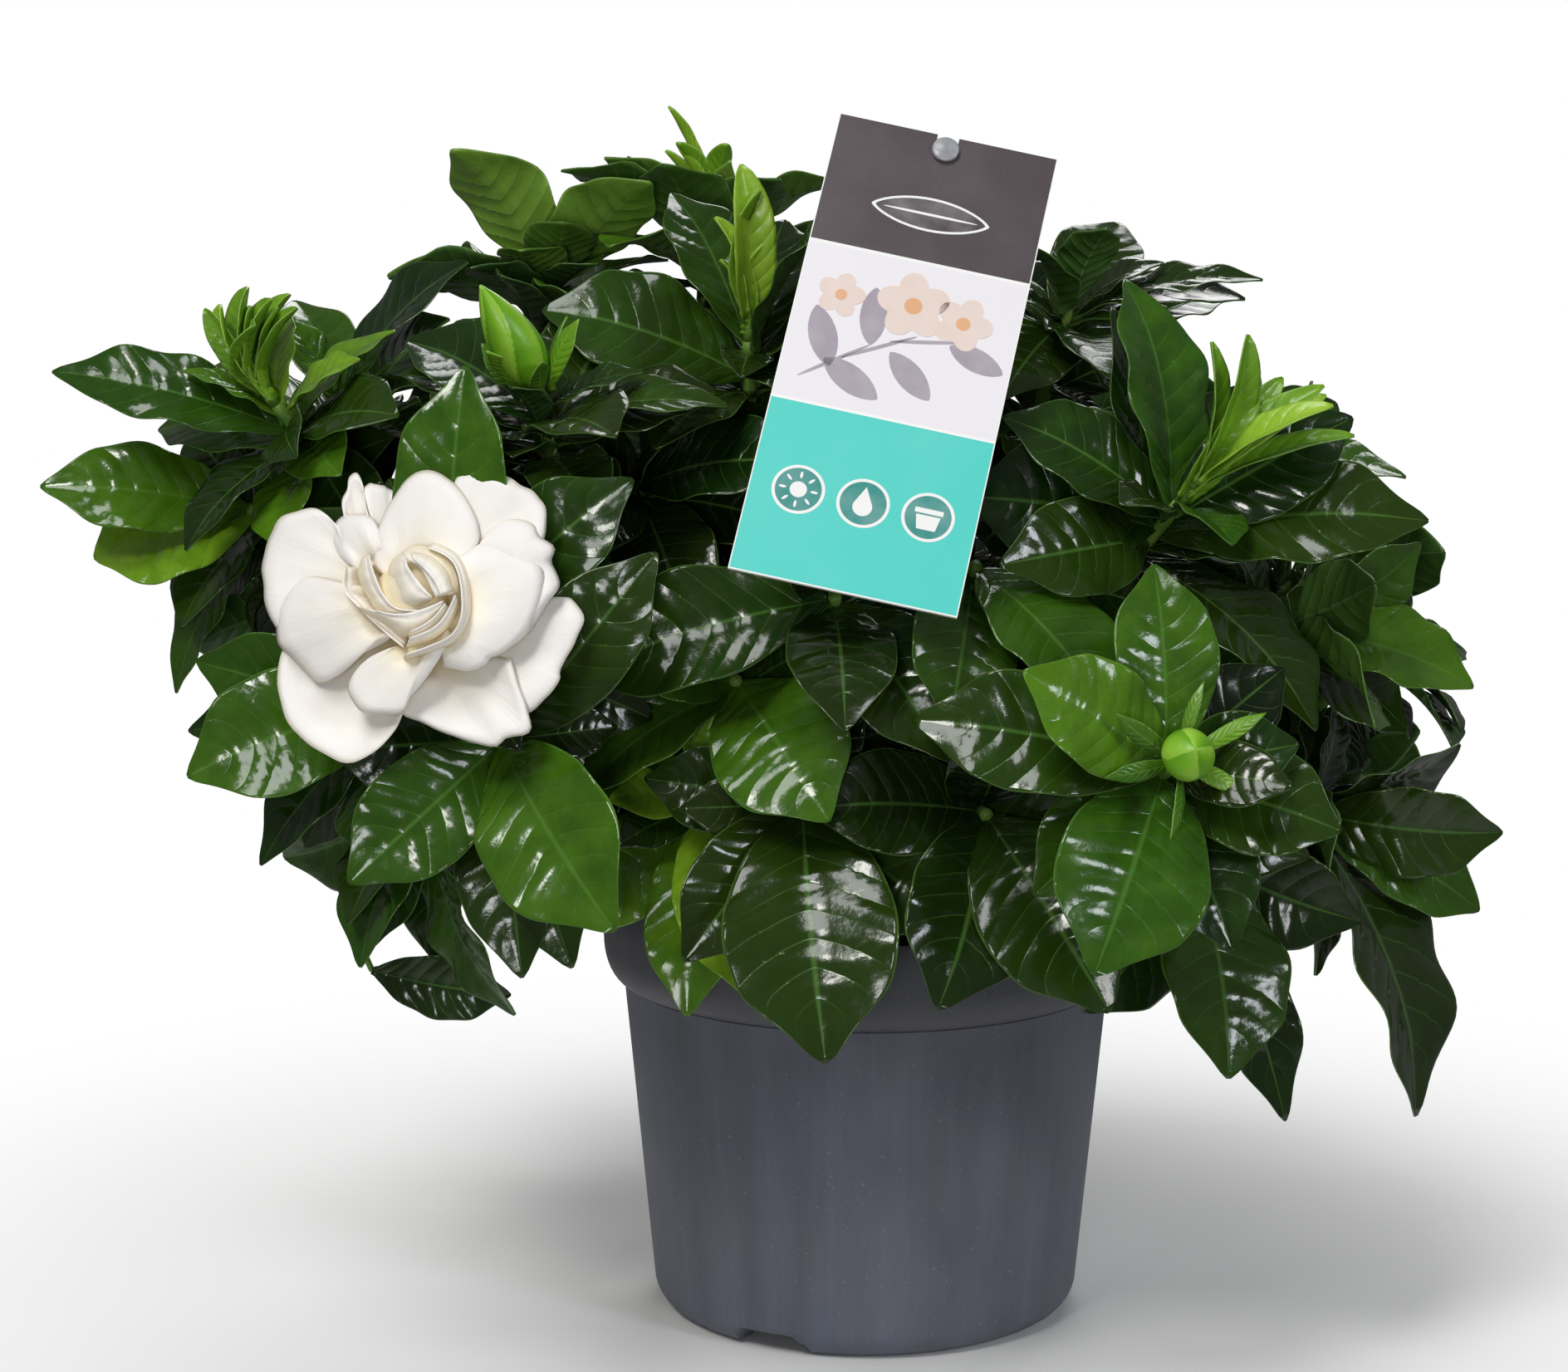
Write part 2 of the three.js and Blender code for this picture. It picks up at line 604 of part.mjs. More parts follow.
function makeStake() {
  const centre = cardTop.clone().addScaledVector(cardUp, cardNotchWidth / 2 - cardNotchDepth);
  const disc = (radius, depth, sides, forward) =>
    new THREE.CylinderGeometry(radius, radius, depth, sides)
      .rotateX(Math.PI / 2)
      .applyMatrix4(cardFrame())
      .translate(...centre.clone().addScaledVector(cardFacing, forward));
  const head = disc(stakeHeadRadius, stakeHeadDepth, 12, cardThickness + gap + stakeHeadDepth / 2);
  const neck = disc(cardNotchWidth / 2 - 0.5, 4, 8, 0);
  return geometryOf(fuse([stakeBlade(stakeWidth, stakeThickness, 0), neck, head]));
}

// Woody stems: trunks in the soil, forking into one twig for each shoot they carry
const shootAxis = (shoot) => heading(shoot.aim);
const shootRoot = (shoot) => vec(shoot.tip).addScaledVector(shootAxis(shoot), -shoot.stem);

function makeWood(trunkName) {
  const [x, y] = trunkPlaces[trunkName];
  const top = vec([x, y, soilTop + trunkRise]);
  const bottom = vec([x, y, soilTop - trunkDepth + gap]);
  const pieces = [taperedTube([bottom, top], [trunkRadius, trunkRadius * 0.8], 6, vec([0, 0, 1]))];
  for (const shoot of Object.values(shoots)) {
    if (shoot.trunk !== trunkName) continue;
    const axis = shootAxis(shoot);
    const end = shootRoot(shoot).addScaledVector(axis, -gap);
    const reach = end.distanceTo(top);
    const route = new THREE.CubicBezierCurve3(
      vec([x, y, soilTop + trunkRise * 0.5]),
      vec([x, y, soilTop + trunkRise * 0.5 + 0.4 * reach]),
      end.clone().addScaledVector(axis, -0.3 * reach),
      end,
    );
    const rings = route.getPoints(twigSteps).map((point, i) => {
      const share = i / twigSteps;
      const radius = THREE.MathUtils.lerp(twigRadius, stemFootRadius, share);
      return ring(point, route.getTangent(share), radius, stemSides);
    });
    pieces.push(ringBody(alignRings(rings)));
  }
  return geometryOf(fuse(pieces));
}

// Turns each ring so that its first point follows the ring before it
function alignRings(rings) {
  for (let i = 1; i < rings.length; i++) {
    const turned = (shift) => rings[i].map((_, j) => rings[i][(j + shift) % rings[i].length]);
    const apart = (shift) =>
      turned(shift).reduce((sum, point, j) => sum + point.distanceTo(rings[i - 1][j]), 0);
    const shifts = rings[i].map((_, shift) => apart(shift));
    rings[i] = turned(shifts.indexOf(Math.min(...shifts)));
  }
  return rings;
}

// A leaf blade as a surface: t runs from its root to its tip, s from one edge to the other. Its upper face
// looks up the stem, and grow makes a fatter copy of it for the crossing test.
function leafFrame(root, [bearing, pitch, length, width, roll = 0], axis, grow = 0) {
  const along = heading([bearing, pitch]);
  let face = axis.clone().addScaledVector(along, -axis.dot(along)).normalize();
  const side = new THREE.Vector3().crossVectors(along, face);
  const turn = radians(roll);
  face = face.multiplyScalar(Math.cos(turn)).addScaledVector(side, Math.sin(turn)).normalize();
  const across = new THREE.Vector3().crossVectors(along, face).normalize();
  return {
    root, along, face, across,
    length: length + grow,
    halfWidth: width / 2 + grow,
    thickness: leafThickness + 2 * grow,
  };
}

const leafOutline = (t) => 2.83 * (t ** 1.15 * (1 - t ** 1.15)) ** 0.75;

function leafPoint(leaf, t, s) {
  const slope = 4 * leafArch * (1 - 2 * t);
  const normal = leaf.face.clone().addScaledVector(leaf.along, -slope).normalize();
  const reach = leaf.halfWidth * leafOutline(t);
  const point = leaf.root
    .clone()
    .addScaledVector(leaf.along, leaf.length * t)
    .addScaledVector(leaf.face, leaf.length * 4 * leafArch * t * (1 - t))
    .addScaledVector(leaf.across, reach * s)
    .addScaledVector(normal, reach * leafFold * Math.abs(s));
  return { point, normal };
}

// A sheet through the points that spotAt gives, which narrows to one point where t is 0 or 1
function surfaceSheet(spotAt, ts, columns, thickness) {
  const rows = ts.map((t) => (t === 0 || t === 1 ? [0] : columns).map((s) => spotAt(t, s)));
  const points = rows.map((row) => row.map((spot) => spot.point));
  const normals = rows.map((row) => row.map((spot) => spot.normal));
  return sheet(points, normals, thickness);
}

function leafSheet(leaf, stations = leafStations) {
  return surfaceSheet((t, s) => leafPoint(leaf, t, s), [0, ...stations, 1], [-1, 0, 1], leaf.thickness);
}

// Crossing test: true where an edge of one closed shape passes through a face of another
function trianglesOf(geometry, skipNear = null) {
  const flat = geometry.index ? geometry.toNonIndexed() : geometry;
  const place = flat.getAttribute("position");
  const triangles = [];
  for (let i = 0; i < place.count; i += 3) {
    const corners = [0, 1, 2].map((k) => new THREE.Vector3().fromBufferAttribute(place, i + k));
    const near = skipNear && corners.some((corner) => corner.distanceTo(skipNear.point) < skipNear.distance);
    if (near) continue;
    triangles.push({ corners, box: new THREE.Box3().setFromPoints(corners) });
  }
  return triangles;
}

function edgeCrosses(from, to, [a, b, c]) {
  const edge = to.clone().sub(from);
  const ab = b.clone().sub(a);
  const ac = c.clone().sub(a);
  const p = new THREE.Vector3().crossVectors(edge, ac);
  const det = ab.dot(p);
  if (Math.abs(det) < 1e-9) return false;
  const away = from.clone().sub(a);
  const u = away.dot(p) / det;
  if (u < 0 || u > 1) return false;
  const q = new THREE.Vector3().crossVectors(away, ab);
  const v = edge.dot(q) / det;
  if (v < 0 || u + v > 1) return false;
  const w = ac.dot(q) / det;
  return w >= 0 && w <= 1;
}

function trianglesCross(first, second) {
  if (!first.box.intersectsBox(second.box)) return false;
  for (let i = 0; i < 3; i++) {
    if (edgeCrosses(first.corners[i], first.corners[(i + 1) % 3], second.corners)) return true;
    if (edgeCrosses(second.corners[i], second.corners[(i + 1) % 3], first.corners)) return true;
  }
  return false;
}

const obstacles = [];

function addObstacle(owner, geometry, beyondRoot = null) {
  const triangles = trianglesOf(geometry);
  const box = new THREE.Box3().setFromPoints(triangles.flatMap((t) => t.corners));
  obstacles.push({ owner, triangles, box, beyondRoot });
}

function isClear(owner, triangles, outerTriangles) {
  const box = new THREE.Box3().setFromPoints(triangles.flatMap((t) => t.corners));
  for (const other of obstacles) {
    if (!box.intersectsBox(other.box)) continue;
    const own = other.owner === owner;
    if (own && !other.beyondRoot) continue;
    const mine = own ? outerTriangles : triangles;
    const theirs = own ? other.beyondRoot : other.triangles;
    for (const a of mine) {
      if (!a.box.intersectsBox(other.box)) continue;
      if (theirs.some((b) => trianglesCross(a, b))) return false;
    }
  }
  return true;
}

// The first bend of a leaf that clears all that stands already, or null
function placeLeaf(owner, root, record, axis) {
  const [bearing, pitch, length, width, roll = 0] = record;
  for (const [turn, lift, twist, size] of bends) {
    const bent = [bearing + turn, pitch + lift, length * size, width * size, roll + twist];
    const outer = leafSheet(leafFrame(root, bent, axis, leafClearance));
    const joint = { point: root, distance: length * size * siblingShare };
    if (isClear(owner, trianglesOf(outer), trianglesOf(outer, joint))) {
      const blade = leafSheet(leafFrame(root, bent, axis));
      addObstacle(owner, blade, trianglesOf(blade, joint));
      return blade;
    }
  }
  return null;
}

// A shoot's leaves: those it lists, then as many more as its rule adds
function leafRecords(shoot, draw) {
  const records = [...(shoot.leaves ?? [])];
  for (let i = 0; i < (shoot.fill ?? 0); i++) {
    const turn = radians(i * ruleLeaf.turn + 360 * draw());
    const spread = ruleLeaf.spread + ruleLeaf.spreadStep * i * (0.7 + 0.3 * draw());
    const size = i < ruleLeaf.newest ? ruleLeaf.newestSize : 1;
    const length = THREE.MathUtils.lerp(ruleLeaf.shortest, ruleLeaf.longest, draw());
    const width = length * THREE.MathUtils.lerp(ruleLeaf.narrowest, ruleLeaf.broadest, draw());
    records.push([...leaning(shootAxis(shoot), turn, spread), length * size, width * size]);
  }
  return records;
}

function leafRoot(shoot, i, [bearing, pitch]) {
  const axis = shootAxis(shoot);
  const along = heading([bearing, pitch]);
  const out = along.addScaledVector(axis, -axis.dot(along)).normalize();
  return vec(shoot.tip).addScaledVector(axis, -firstLeaf - nodeSpacing * i).addScaledVector(out, rootOffset);
}

function stemGeometry(shoot) {
  return taperedTube([shootRoot(shoot), vec(shoot.tip)], [stemFootRadius, stemRadius], stemSides);
}

function makeShoot(name, shoot, seed) {
  const draw = seededDraws(seed);
  const axis = shootAxis(shoot);
  const pieces = [stemGeometry(shoot)];
  leafRecords(shoot, draw).forEach((record, i) => {
    const blade = placeLeaf(name, leafRoot(shoot, i, record), record, axis);
    if (blade) pieces.push(blade);
  });
  return geometryOf(fuse(pieces));
}

// A flush: narrow young leaves on a short stem that goes on from its shoot's tip
function makeFlush(shoot) {
  const axis = shootAxis(shoot);
  const root = vec(shoot.tip).addScaledVector(axis, gap);
  const end = root.clone().addScaledVector(axis, 7);
  const pieces = [taperedTube([root, end], [stemRadius, 0.8], stemSides)];
  shoot.young.forEach((record, i) => {
    const base = root.clone().addScaledVector(axis, 1.2 + 1.6 * i);
    pieces.push(leafSheet(leafFrame(base, record, axis), slimStations));
  });
  return geometryOf(fuse(pieces));
}

// Buds: a body with spiral ridges on a short stalk, with narrow sepals round it. blunt: where it is widest,
// nearer its foot below 1. sepal: [length, width, spread from the stalk].
const buds = {
  bud_large: {
    on: "bigBud", length: 30, radius: 7.6, blunt: 0.8, stalk: 5, ridges: 5, twist: 90, sepals: 5,
    sepal: [17, 4.5, 28],
  },
  bud_round: {
    on: "roundBud", length: 13, radius: 6.2, blunt: 1, stalk: 8, ridges: 4, twist: 20, sepals: 5,
    sepal: [19, 4, 58],
  },
};
const budRings = 5;
const budRidge = 0.07;

function makeBud(bud) {
  const shoot = shoots[bud.on];
  const axis = shootAxis(shoot);
  const root = vec(shoot.tip).addScaledVector(axis, gap);
  const rings = [];
  for (let i = 0; i <= budRings; i++) {
    const share = THREE.MathUtils.lerp(0.03, 1, i / budRings);
    const centre = root.clone().addScaledVector(axis, bud.stalk - 1 + bud.length * share);
    const swell = Math.sin(Math.PI * share ** bud.blunt) ** 0.8;
    const ridge = (angle) => 1 + budRidge * Math.cos(bud.ridges * (angle - radians(bud.twist) * share));
    rings.push(ring(centre, axis, Math.max(bud.radius * swell, 0.5), 8, ridge));
  }
  const stalkEnd = root.clone().addScaledVector(axis, bud.stalk + 2);
  const pieces = [taperedTube([root, stalkEnd], [1.4, 2.2], stemSides), ringBody(rings)];
  const base = root.clone().addScaledVector(axis, bud.stalk * 0.6);
  const [length, width, spread] = bud.sepal;
  for (let i = 0; i < bud.sepals; i++) {
    const record = [...leaning(axis, (2 * Math.PI * (i + 0.3)) / bud.sepals, spread), length, width];
    pieces.push(leafSheet(leafFrame(base, record, axis), slimStations));
  }
  return geometryOf(fuse(pieces));
}

// Bloom: petals round a clock face that looks along the shoot's axis, with a swirl of small ones inside
// petals: [clock angle, reach, width, lift of the crown, how far the rim rolls back, roots' depth]
const bloomPetals = [
  [2, 36, 30, 17, 0.62, 3], [42, 40, 28, 12, 0.7, 0], [92, 34, 33, 20, 0.66, 4], [112, 41, 31, 12, 0.72, 1],
  [150, 37, 35, 15, 0.7, 2], [186, 30, 22, 18, 0.66, 4], [216, 40, 42, 12, 0.72, 0], [262, 37, 29, 19, 0.66, 3],
  [298, 41, 33, 12, 0.7, 1], [332, 35, 22, 17, 0.6, 2],
];
// swirl: [clock angle, radius, arc, height of its edge above the crown of the receptacle]
const bloomSwirl = [
  [255, 14.5, 105, 20], [135, 14, 105, 21], [15, 14, 105, 21], [200, 9, 120, 23], [20, 8.5, 120, 23],
  [100, 4, 150, 25],
];
// The solid heart that the petals stand on: [height, radius]
const bloomHeart = [[0, 4.5], [3, 8], [7, 8], [12, 3]];
const petalThickness = 0.9;
const bloomShoot = shoots.bloomRosette;
const calyxLength = 7;

function bloomAxes() {
  const axis = shootAxis(bloomShoot);
  const right = new THREE.Vector3().crossVectors(vec([0, 0, 1]), axis).normalize();
  return { axis, right, up: new THREE.Vector3().crossVectors(axis, right) };
}

function petalPoint(base, [clock, reach, width, lift, roll, depth], t, s) {
  const { axis, right, up } = bloomAxes();
  const turn = radians(clock);
  const out = up.clone().multiplyScalar(Math.cos(turn)).addScaledVector(right, Math.sin(turn));
  const across = right.clone().multiplyScalar(Math.cos(turn)).addScaledVector(up, -Math.sin(turn));
  const half = (width / 2) * (t === 1 ? 0 : Math.min(1, 1.9 * t ** 0.8) * (1 - t ** 6) ** 0.5);
  const forward = depth + lift * Math.sin(Math.PI * roll * t) + half * 0.12 * Math.cos(3 * s) * t;
  const slope = (lift * Math.PI * roll * Math.cos(Math.PI * roll * t)) / reach;
  const normal = axis.clone().addScaledVector(out, -slope).normalize();
  const point = base
    .clone()
    .addScaledVector(out, reach * t * (1 - 0.1 * s * s))
    .addScaledVector(across, half * s)
    .addScaledVector(axis, forward);
  return { point, normal };
}

function swirlPoint(base, [clock, radius, span, height], t, s) {
  const { axis, right, up } = bloomAxes();
  const turn = radians(clock - (span / 2) * s);
  const out = up.clone().multiplyScalar(Math.cos(turn)).addScaledVector(right, Math.sin(turn));
  const reach = radius * (0.45 + 0.55 * t) * (1 - 0.22 * s);
  const point = base
    .clone()
    .addScaledVector(out, reach)
    .addScaledVector(axis, 2 + (height - 2) * t * (1 - 0.12 * s * s));
  return { point, normal: out };
}

function makeBloom() {
  const { axis } = bloomAxes();
  const base = vec(bloomShoot.tip).addScaledVector(axis, calyxLength + gap);
  const heart = bloomHeart.map(([height, radius]) =>
    ring(base.clone().addScaledVector(axis, height), axis, radius, 8),
  );
  const pieces = [ringBody(heart)];
  for (const petal of bloomPetals) {
    const spotAt = (t, s) => petalPoint(base, petal, t, s);
    pieces.push(surfaceSheet(spotAt, [0, 0.4, 0.8, 1], [-1, 0, 1], petalThickness));
  }
  for (const petal of bloomSwirl) {
    const spotAt = (t, s) => swirlPoint(base, petal, t, s);
    pieces.push(surfaceSheet(spotAt, [0.02, 0.999], [-1, -0.35, 0.35, 1], petalThickness));
  }
  return geometryOf(fuse(pieces));
}

function makeCalyx() {
  const { axis } = bloomAxes();
  const root = vec(bloomShoot.tip).addScaledVector(axis, gap);
  const points = [0, 4, calyxLength - gap].map((height) => root.clone().addScaledVector(axis, height));
  return taperedTube(points, [1.7, 2.6, 4.4], 8);
}

// The whole plant, from what stands fixed to the leaves that are fitted round it
const fixed = {
  pot: [makePot(), materials.plastic],
  soil: [makeSoil(), materials.soil],
  label_card: [makeCard(), materials.card],
  label_stake: [makeStake(), materials.clearPlastic],
  wood_left: [makeWood("left"), materials.bark],
  wood_right: [makeWood("right"), materials.bark],
  wood_back_left: [makeWood("backLeft"), materials.bark],
  wood_back_right: [makeWood("backRight"), materials.bark],
  bloom: [makeBloom(), materials.petal],
  bloom_calyx: [makeCalyx(), materials.bud],
};
for (const [name, bud] of Object.entries(buds)) {
  fixed[name] = [makeBud(bud), materials.bud];
}
for (const [name, shoot] of Object.entries(shoots)) {
  if (shoot.young) fixed["flush_" + name] = [makeFlush(shoot), materials.youngLeaf];
}
for (const [name, [geometry, material]] of Object.entries(fixed)) {
  addNode(name, geometry, material);
  addObstacle(name, geometry);
}
for (const [name, shoot] of Object.entries(shoots)) {
  addObstacle(name, stemGeometry(shoot));
}
Object.entries(shoots).forEach(([name, shoot], i) => {
  addNode("shoot_" + name, makeShoot(name, shoot, 1000 + 77 * i), materials.leaf);
});

export default part;
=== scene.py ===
# A potted gardenia in a nursery pot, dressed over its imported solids. Lengths below are in millimetres,
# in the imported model's frame, and are turned to metres where a mesh is made.
import math
import random
from functools import partial
import bpy
import numpy as np
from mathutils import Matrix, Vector
from mathutils.bvhtree import BVHTree
from mathutils.kdtree import KDTree


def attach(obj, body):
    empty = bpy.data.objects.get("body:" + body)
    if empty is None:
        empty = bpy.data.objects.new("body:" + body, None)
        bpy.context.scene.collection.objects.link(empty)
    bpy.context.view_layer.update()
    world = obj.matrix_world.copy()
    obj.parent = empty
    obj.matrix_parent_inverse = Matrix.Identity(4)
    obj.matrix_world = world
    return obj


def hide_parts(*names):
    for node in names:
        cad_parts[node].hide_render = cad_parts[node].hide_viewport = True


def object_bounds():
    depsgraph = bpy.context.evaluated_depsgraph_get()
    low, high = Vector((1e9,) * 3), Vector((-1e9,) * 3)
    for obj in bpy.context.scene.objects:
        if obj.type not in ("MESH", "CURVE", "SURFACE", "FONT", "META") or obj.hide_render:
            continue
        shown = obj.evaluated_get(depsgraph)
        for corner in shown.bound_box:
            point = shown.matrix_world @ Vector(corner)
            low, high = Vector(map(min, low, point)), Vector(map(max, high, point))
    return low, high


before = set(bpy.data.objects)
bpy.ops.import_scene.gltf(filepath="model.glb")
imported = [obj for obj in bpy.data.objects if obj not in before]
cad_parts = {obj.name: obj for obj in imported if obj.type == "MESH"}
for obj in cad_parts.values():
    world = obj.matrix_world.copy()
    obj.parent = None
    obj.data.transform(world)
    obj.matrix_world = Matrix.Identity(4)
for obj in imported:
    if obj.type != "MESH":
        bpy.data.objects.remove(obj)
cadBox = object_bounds()
metres = 0.001
asColour = {"pick": 2, "data_type": "RGBA"}  # for a mix of colours: its factor is 0, its colours 6 and 7


def tint(code):
    # sRGB hex to the linear colour that a shader takes
    channels = [int(code[i:i + 2], 16) / 255 for i in (1, 3, 5)]
    linear = [c / 12.92 if c <= 0.04045 else ((c + 0.055) / 1.055) ** 2.4 for c in channels]
    return (*linear, 1.0)


def addNode(tree, kind, inputs=(), pick=0, stops=(), **settings):
    # Adds a node, such as "TexNoise" or "Math ADD". Its inputs, in order or by name, are values or the
    # outputs of other nodes. Gives one of its own outputs.
    kind, _, operation = kind.partition(" ")
    made = tree.nodes.new("ShaderNode" + kind)
    if operation:
        made.operation = operation
    for key, value in settings.items():
        setattr(made, key, value)
    for key, value in inputs.items() if isinstance(inputs, dict) else enumerate(inputs):
        if isinstance(value, bpy.types.NodeSocket):
            tree.links.new(value, made.inputs[key])
        else:
            made.inputs[key].default_value = tint(value) if isinstance(value, str) else value
    for i, (place, shade) in enumerate(stops):
        element = made.color_ramp.elements[i] if i < 2 else made.color_ramp.elements.new(place)
        element.position = place
        element.color = tint(shade) if isinstance(shade, str) else (shade, shade, shade, 1)
    return made.outputs[pick]


def newMaterial(name, **sockets):
    # A material, addNode for its tree, and its shader
    material = bpy.data.materials.new(name)
    material.use_nodes = True
    shader = material.node_tree.nodes["Principled BSDF"]
    for key, value in sockets.items():
        shader.inputs[key.replace("_", " ")].default_value = value
    return material, partial(addNode, material.node_tree), shader


def wire(shader, **outputs):
    for key, output in outputs.items():
        shader.id_data.links.new(output, shader.inputs[key.replace("_", " ")])


# What the leaf's mesh and its material share: pairs of side veins, and how far a vein runs on towards the
# tip, as a share of the leaf's length, on its way to the edge.
veins = {"pairs": 9, "slant": 0.17, "curve": 1.25}


def leafMaterial(name, ramp, vein, edge, roughness, underside=False):
    # A waxy leaf: its cuticle gives broken, near-white highlights over a green that is darker when older.
    # The map "blade" holds the place across and along the leaf, "age" its age, with painted shade and light
    # mixed in, and a draw of its own.
    material, add, shader = newMaterial(name, IOR=1.47, Roughness=roughness)
    blade = add("SeparateXYZ", [add("UVMap", uv_map="blade")]).node
    ages = add("SeparateXYZ", [add("UVMap", uv_map="age")]).node
    away = add("Math ABSOLUTE", [add("Math MULTIPLY_ADD", [blade.outputs["X"], 2.0, -1.0])])
    slant = add("Math MULTIPLY", [add("Math POWER", [away, veins["curve"]]), veins["slant"]])
    along = add("Math SUBTRACT", [blade.outputs["Y"], slant])
    phase = add("Math MULTIPLY", [add("Math MULTIPLY", [along, veins["pairs"]]), math.pi])
    swing = add("Math ABSOLUTE", [add("Math SINE", [phase])])
    sideVein = add("ValToRGB", [swing], stops=[(0.0, 1.0), (0.16, 0.0)])
    midrib = add("ValToRGB", [away], stops=[(0.012, 1.0), (0.05, 0.0)])
    fade = add("ValToRGB", [away], stops=[(0.5, 1.0), (0.95, 0.15)])
    whole = add("ValToRGB", [blade.outputs["Y"]], stops=[(0.0, 0.0), (0.06, 1.0), (0.7, 1.0), (0.9, 0.0)])
    fading = add("Math MULTIPLY", [sideVein, add("Math MULTIPLY", [fade, whole])])
    sides = add("Math MULTIPLY", [fading, 0.5 if underside else 0.22])
    veined = add("Math MAXIMUM", [sides, add("Math MULTIPLY", [midrib, 0.4])])
    rim = add("ValToRGB", [away], stops=[(0.965, 0.0), (0.995, 1.0)])
    where = add("TexCoord", pick="Object")
    mottle = add("TexNoise", {"Vector": where, "Scale": 1 / (9 * metres), "Detail": 4})
    fine = add("TexNoise", {"Vector": where, "Scale": 1 / (1.6 * metres), "Detail": 3})
    change = add("Math SUBTRACT", [mottle, 0.5])
    body = add("ValToRGB", [add("Math MULTIPLY_ADD", [change, 0.3, ages.outputs["X"]])], stops=ramp)
    own = add("Math MULTIPLY", [ages.outputs["Y"], 0.06])
    warm = add("Mix", {0: own, 6: body, 7: ramp[-1][1]}, **asColour)
    specks = add("ValToRGB", [fine], stops=[(0.45, 0.0), (0.75, 0.12)])
    specked = add("Mix", {0: specks, 6: warm, 7: "#0c1a08"}, **asColour)
    coloured = add("Mix", {0: veined, 6: specked, 7: vein}, **asColour)
    pillow = add("Math MULTIPLY", [add("Math POWER", [swing, 0.6]), -1.0 if underside else 1.0])
    pillow = add("Math MULTIPLY", [add("Math MULTIPLY", [pillow, whole]), 0.8 if underside else 0.4])
    relief = add("Math ADD", [pillow, add("Math MULTIPLY", [fine, 0.14])])
    wire(
        shader,
        Base_Color=add("Mix", {0: add("Math MULTIPLY", [rim, 0.35]), 6: coloured, 7: edge}, **asColour),
        Roughness=add("Math MULTIPLY_ADD", [change, 0.16, roughness], use_clamp=True),
        Normal=add("Bump", {"Height": relief, "Strength": 0.6, "Distance": 0.7 * metres}),
    )
    return material


oldToYoung = [(0.0, "#0a1807"), (0.3, "#142e09"), (0.55, "#2d5310"), (0.8, "#507c16"), (1.0, "#86b02a")]
paleBelow = [(0.0, "#2f4f22"), (0.5, "#48702a"), (1.0, "#86b03f")]
freshGreen = [(0.4, "#3c6a14"), (0.7, "#6a9a20"), (1.0, "#9cc437")]
leafUpper = leafMaterial("waxyLeafUpper", oldToYoung, "#5c8a3c", "#6f9a4a", 0.16)
leafUnder = leafMaterial("leafUnderside", paleBelow, "#86a862", "#86a862", 0.42, underside=True)
youngLeaf = leafMaterial("youngWaxyLeaf", freshGreen, "#9cc765", "#a8cc70", 0.28)


def mottledMaterial(name, colours, patches, grain, bump, upright=1, **sockets):
    # Patches of colour under a grain that stands proud. patches, grain: their size in mm and detail.
    # bump: its strength and height in mm. upright: below 1, the grain is drawn out up the piece.
    material, add, shader = newMaterial(name, **sockets)
    where = add("TexCoord", pick="Object")
    spots = add("TexNoise", {"Vector": where, "Scale": 1 / (patches[0] * metres), "Detail": patches[1]})
    drawn = add("Mapping", {"Vector": where, "Scale": (1, 1, upright)})
    proud = add("TexNoise", {"Vector": drawn, "Scale": 1 / (grain[0] * metres), "Detail": grain[1]})
    wire(
        shader, Base_Color=add("ValToRGB", [spots], stops=colours),
        Normal=add("Bump", {"Height": proud, "Strength": bump[0], "Distance": bump[1] * metres}),
    )
    return material


# A green stem that turns woody: matt, with faint ridges
greenStem = mottledMaterial(
    "greenStem", [(0.35, "#4c7a26"), (0.6, "#6d8f38"), (0.8, "#7d7a45")], (5, 4), (0.9, 3), (0.4, 0.3),
    IOR=1.45, Roughness=0.5,
)
# Young gardenia bark: grey-brown, cracked along the stem, quite matt
gardeniaBark = mottledMaterial(
    "gardeniaBark", [(0.3, "#4b3b29"), (0.55, "#6c5a41"), (0.75, "#8a7a5c")], (6, 5), (1.4, 4), (0.8, 0.8),
    upright=0.25, IOR=1.45, Roughness=0.88,
)
# Peat and bark potting mix: very dark and matt, its crumbs drawn coarse, about 2 mm, so that they show
pottingMix = mottledMaterial(
    "pottingMix", [(0.3, "#120d0a"), (0.52, "#2a1f18"), (0.72, "#4a3829")], (2.2, 5), (2.2, 5), (1.0, 1.6),
    IOR=1.4, Roughness=0.97,
)
# Composted bark chips and a few pale bits of perlite
barkChips = mottledMaterial(
    "barkChips", [(0.3, "#1d1410"), (0.5, "#3d2c20"), (0.62, "#5d4732"), (0.74, "#cfc8ba")], (4.5, 2),
    (0.8, 4), (0.7, 0.5), IOR=1.4, Roughness=0.92,
)
# Milky clear plastic, pressed: lets a little light through and has a soft shine
clearPlastic = mottledMaterial(
    "milkyClearPlastic", [(0.35, "#b9bcc2"), (0.7, "#dcdee2")], (3, 3), (3, 3), (0.1, 0.3),
    IOR=1.49, Roughness=0.28, Transmission_Weight=0.45,
)


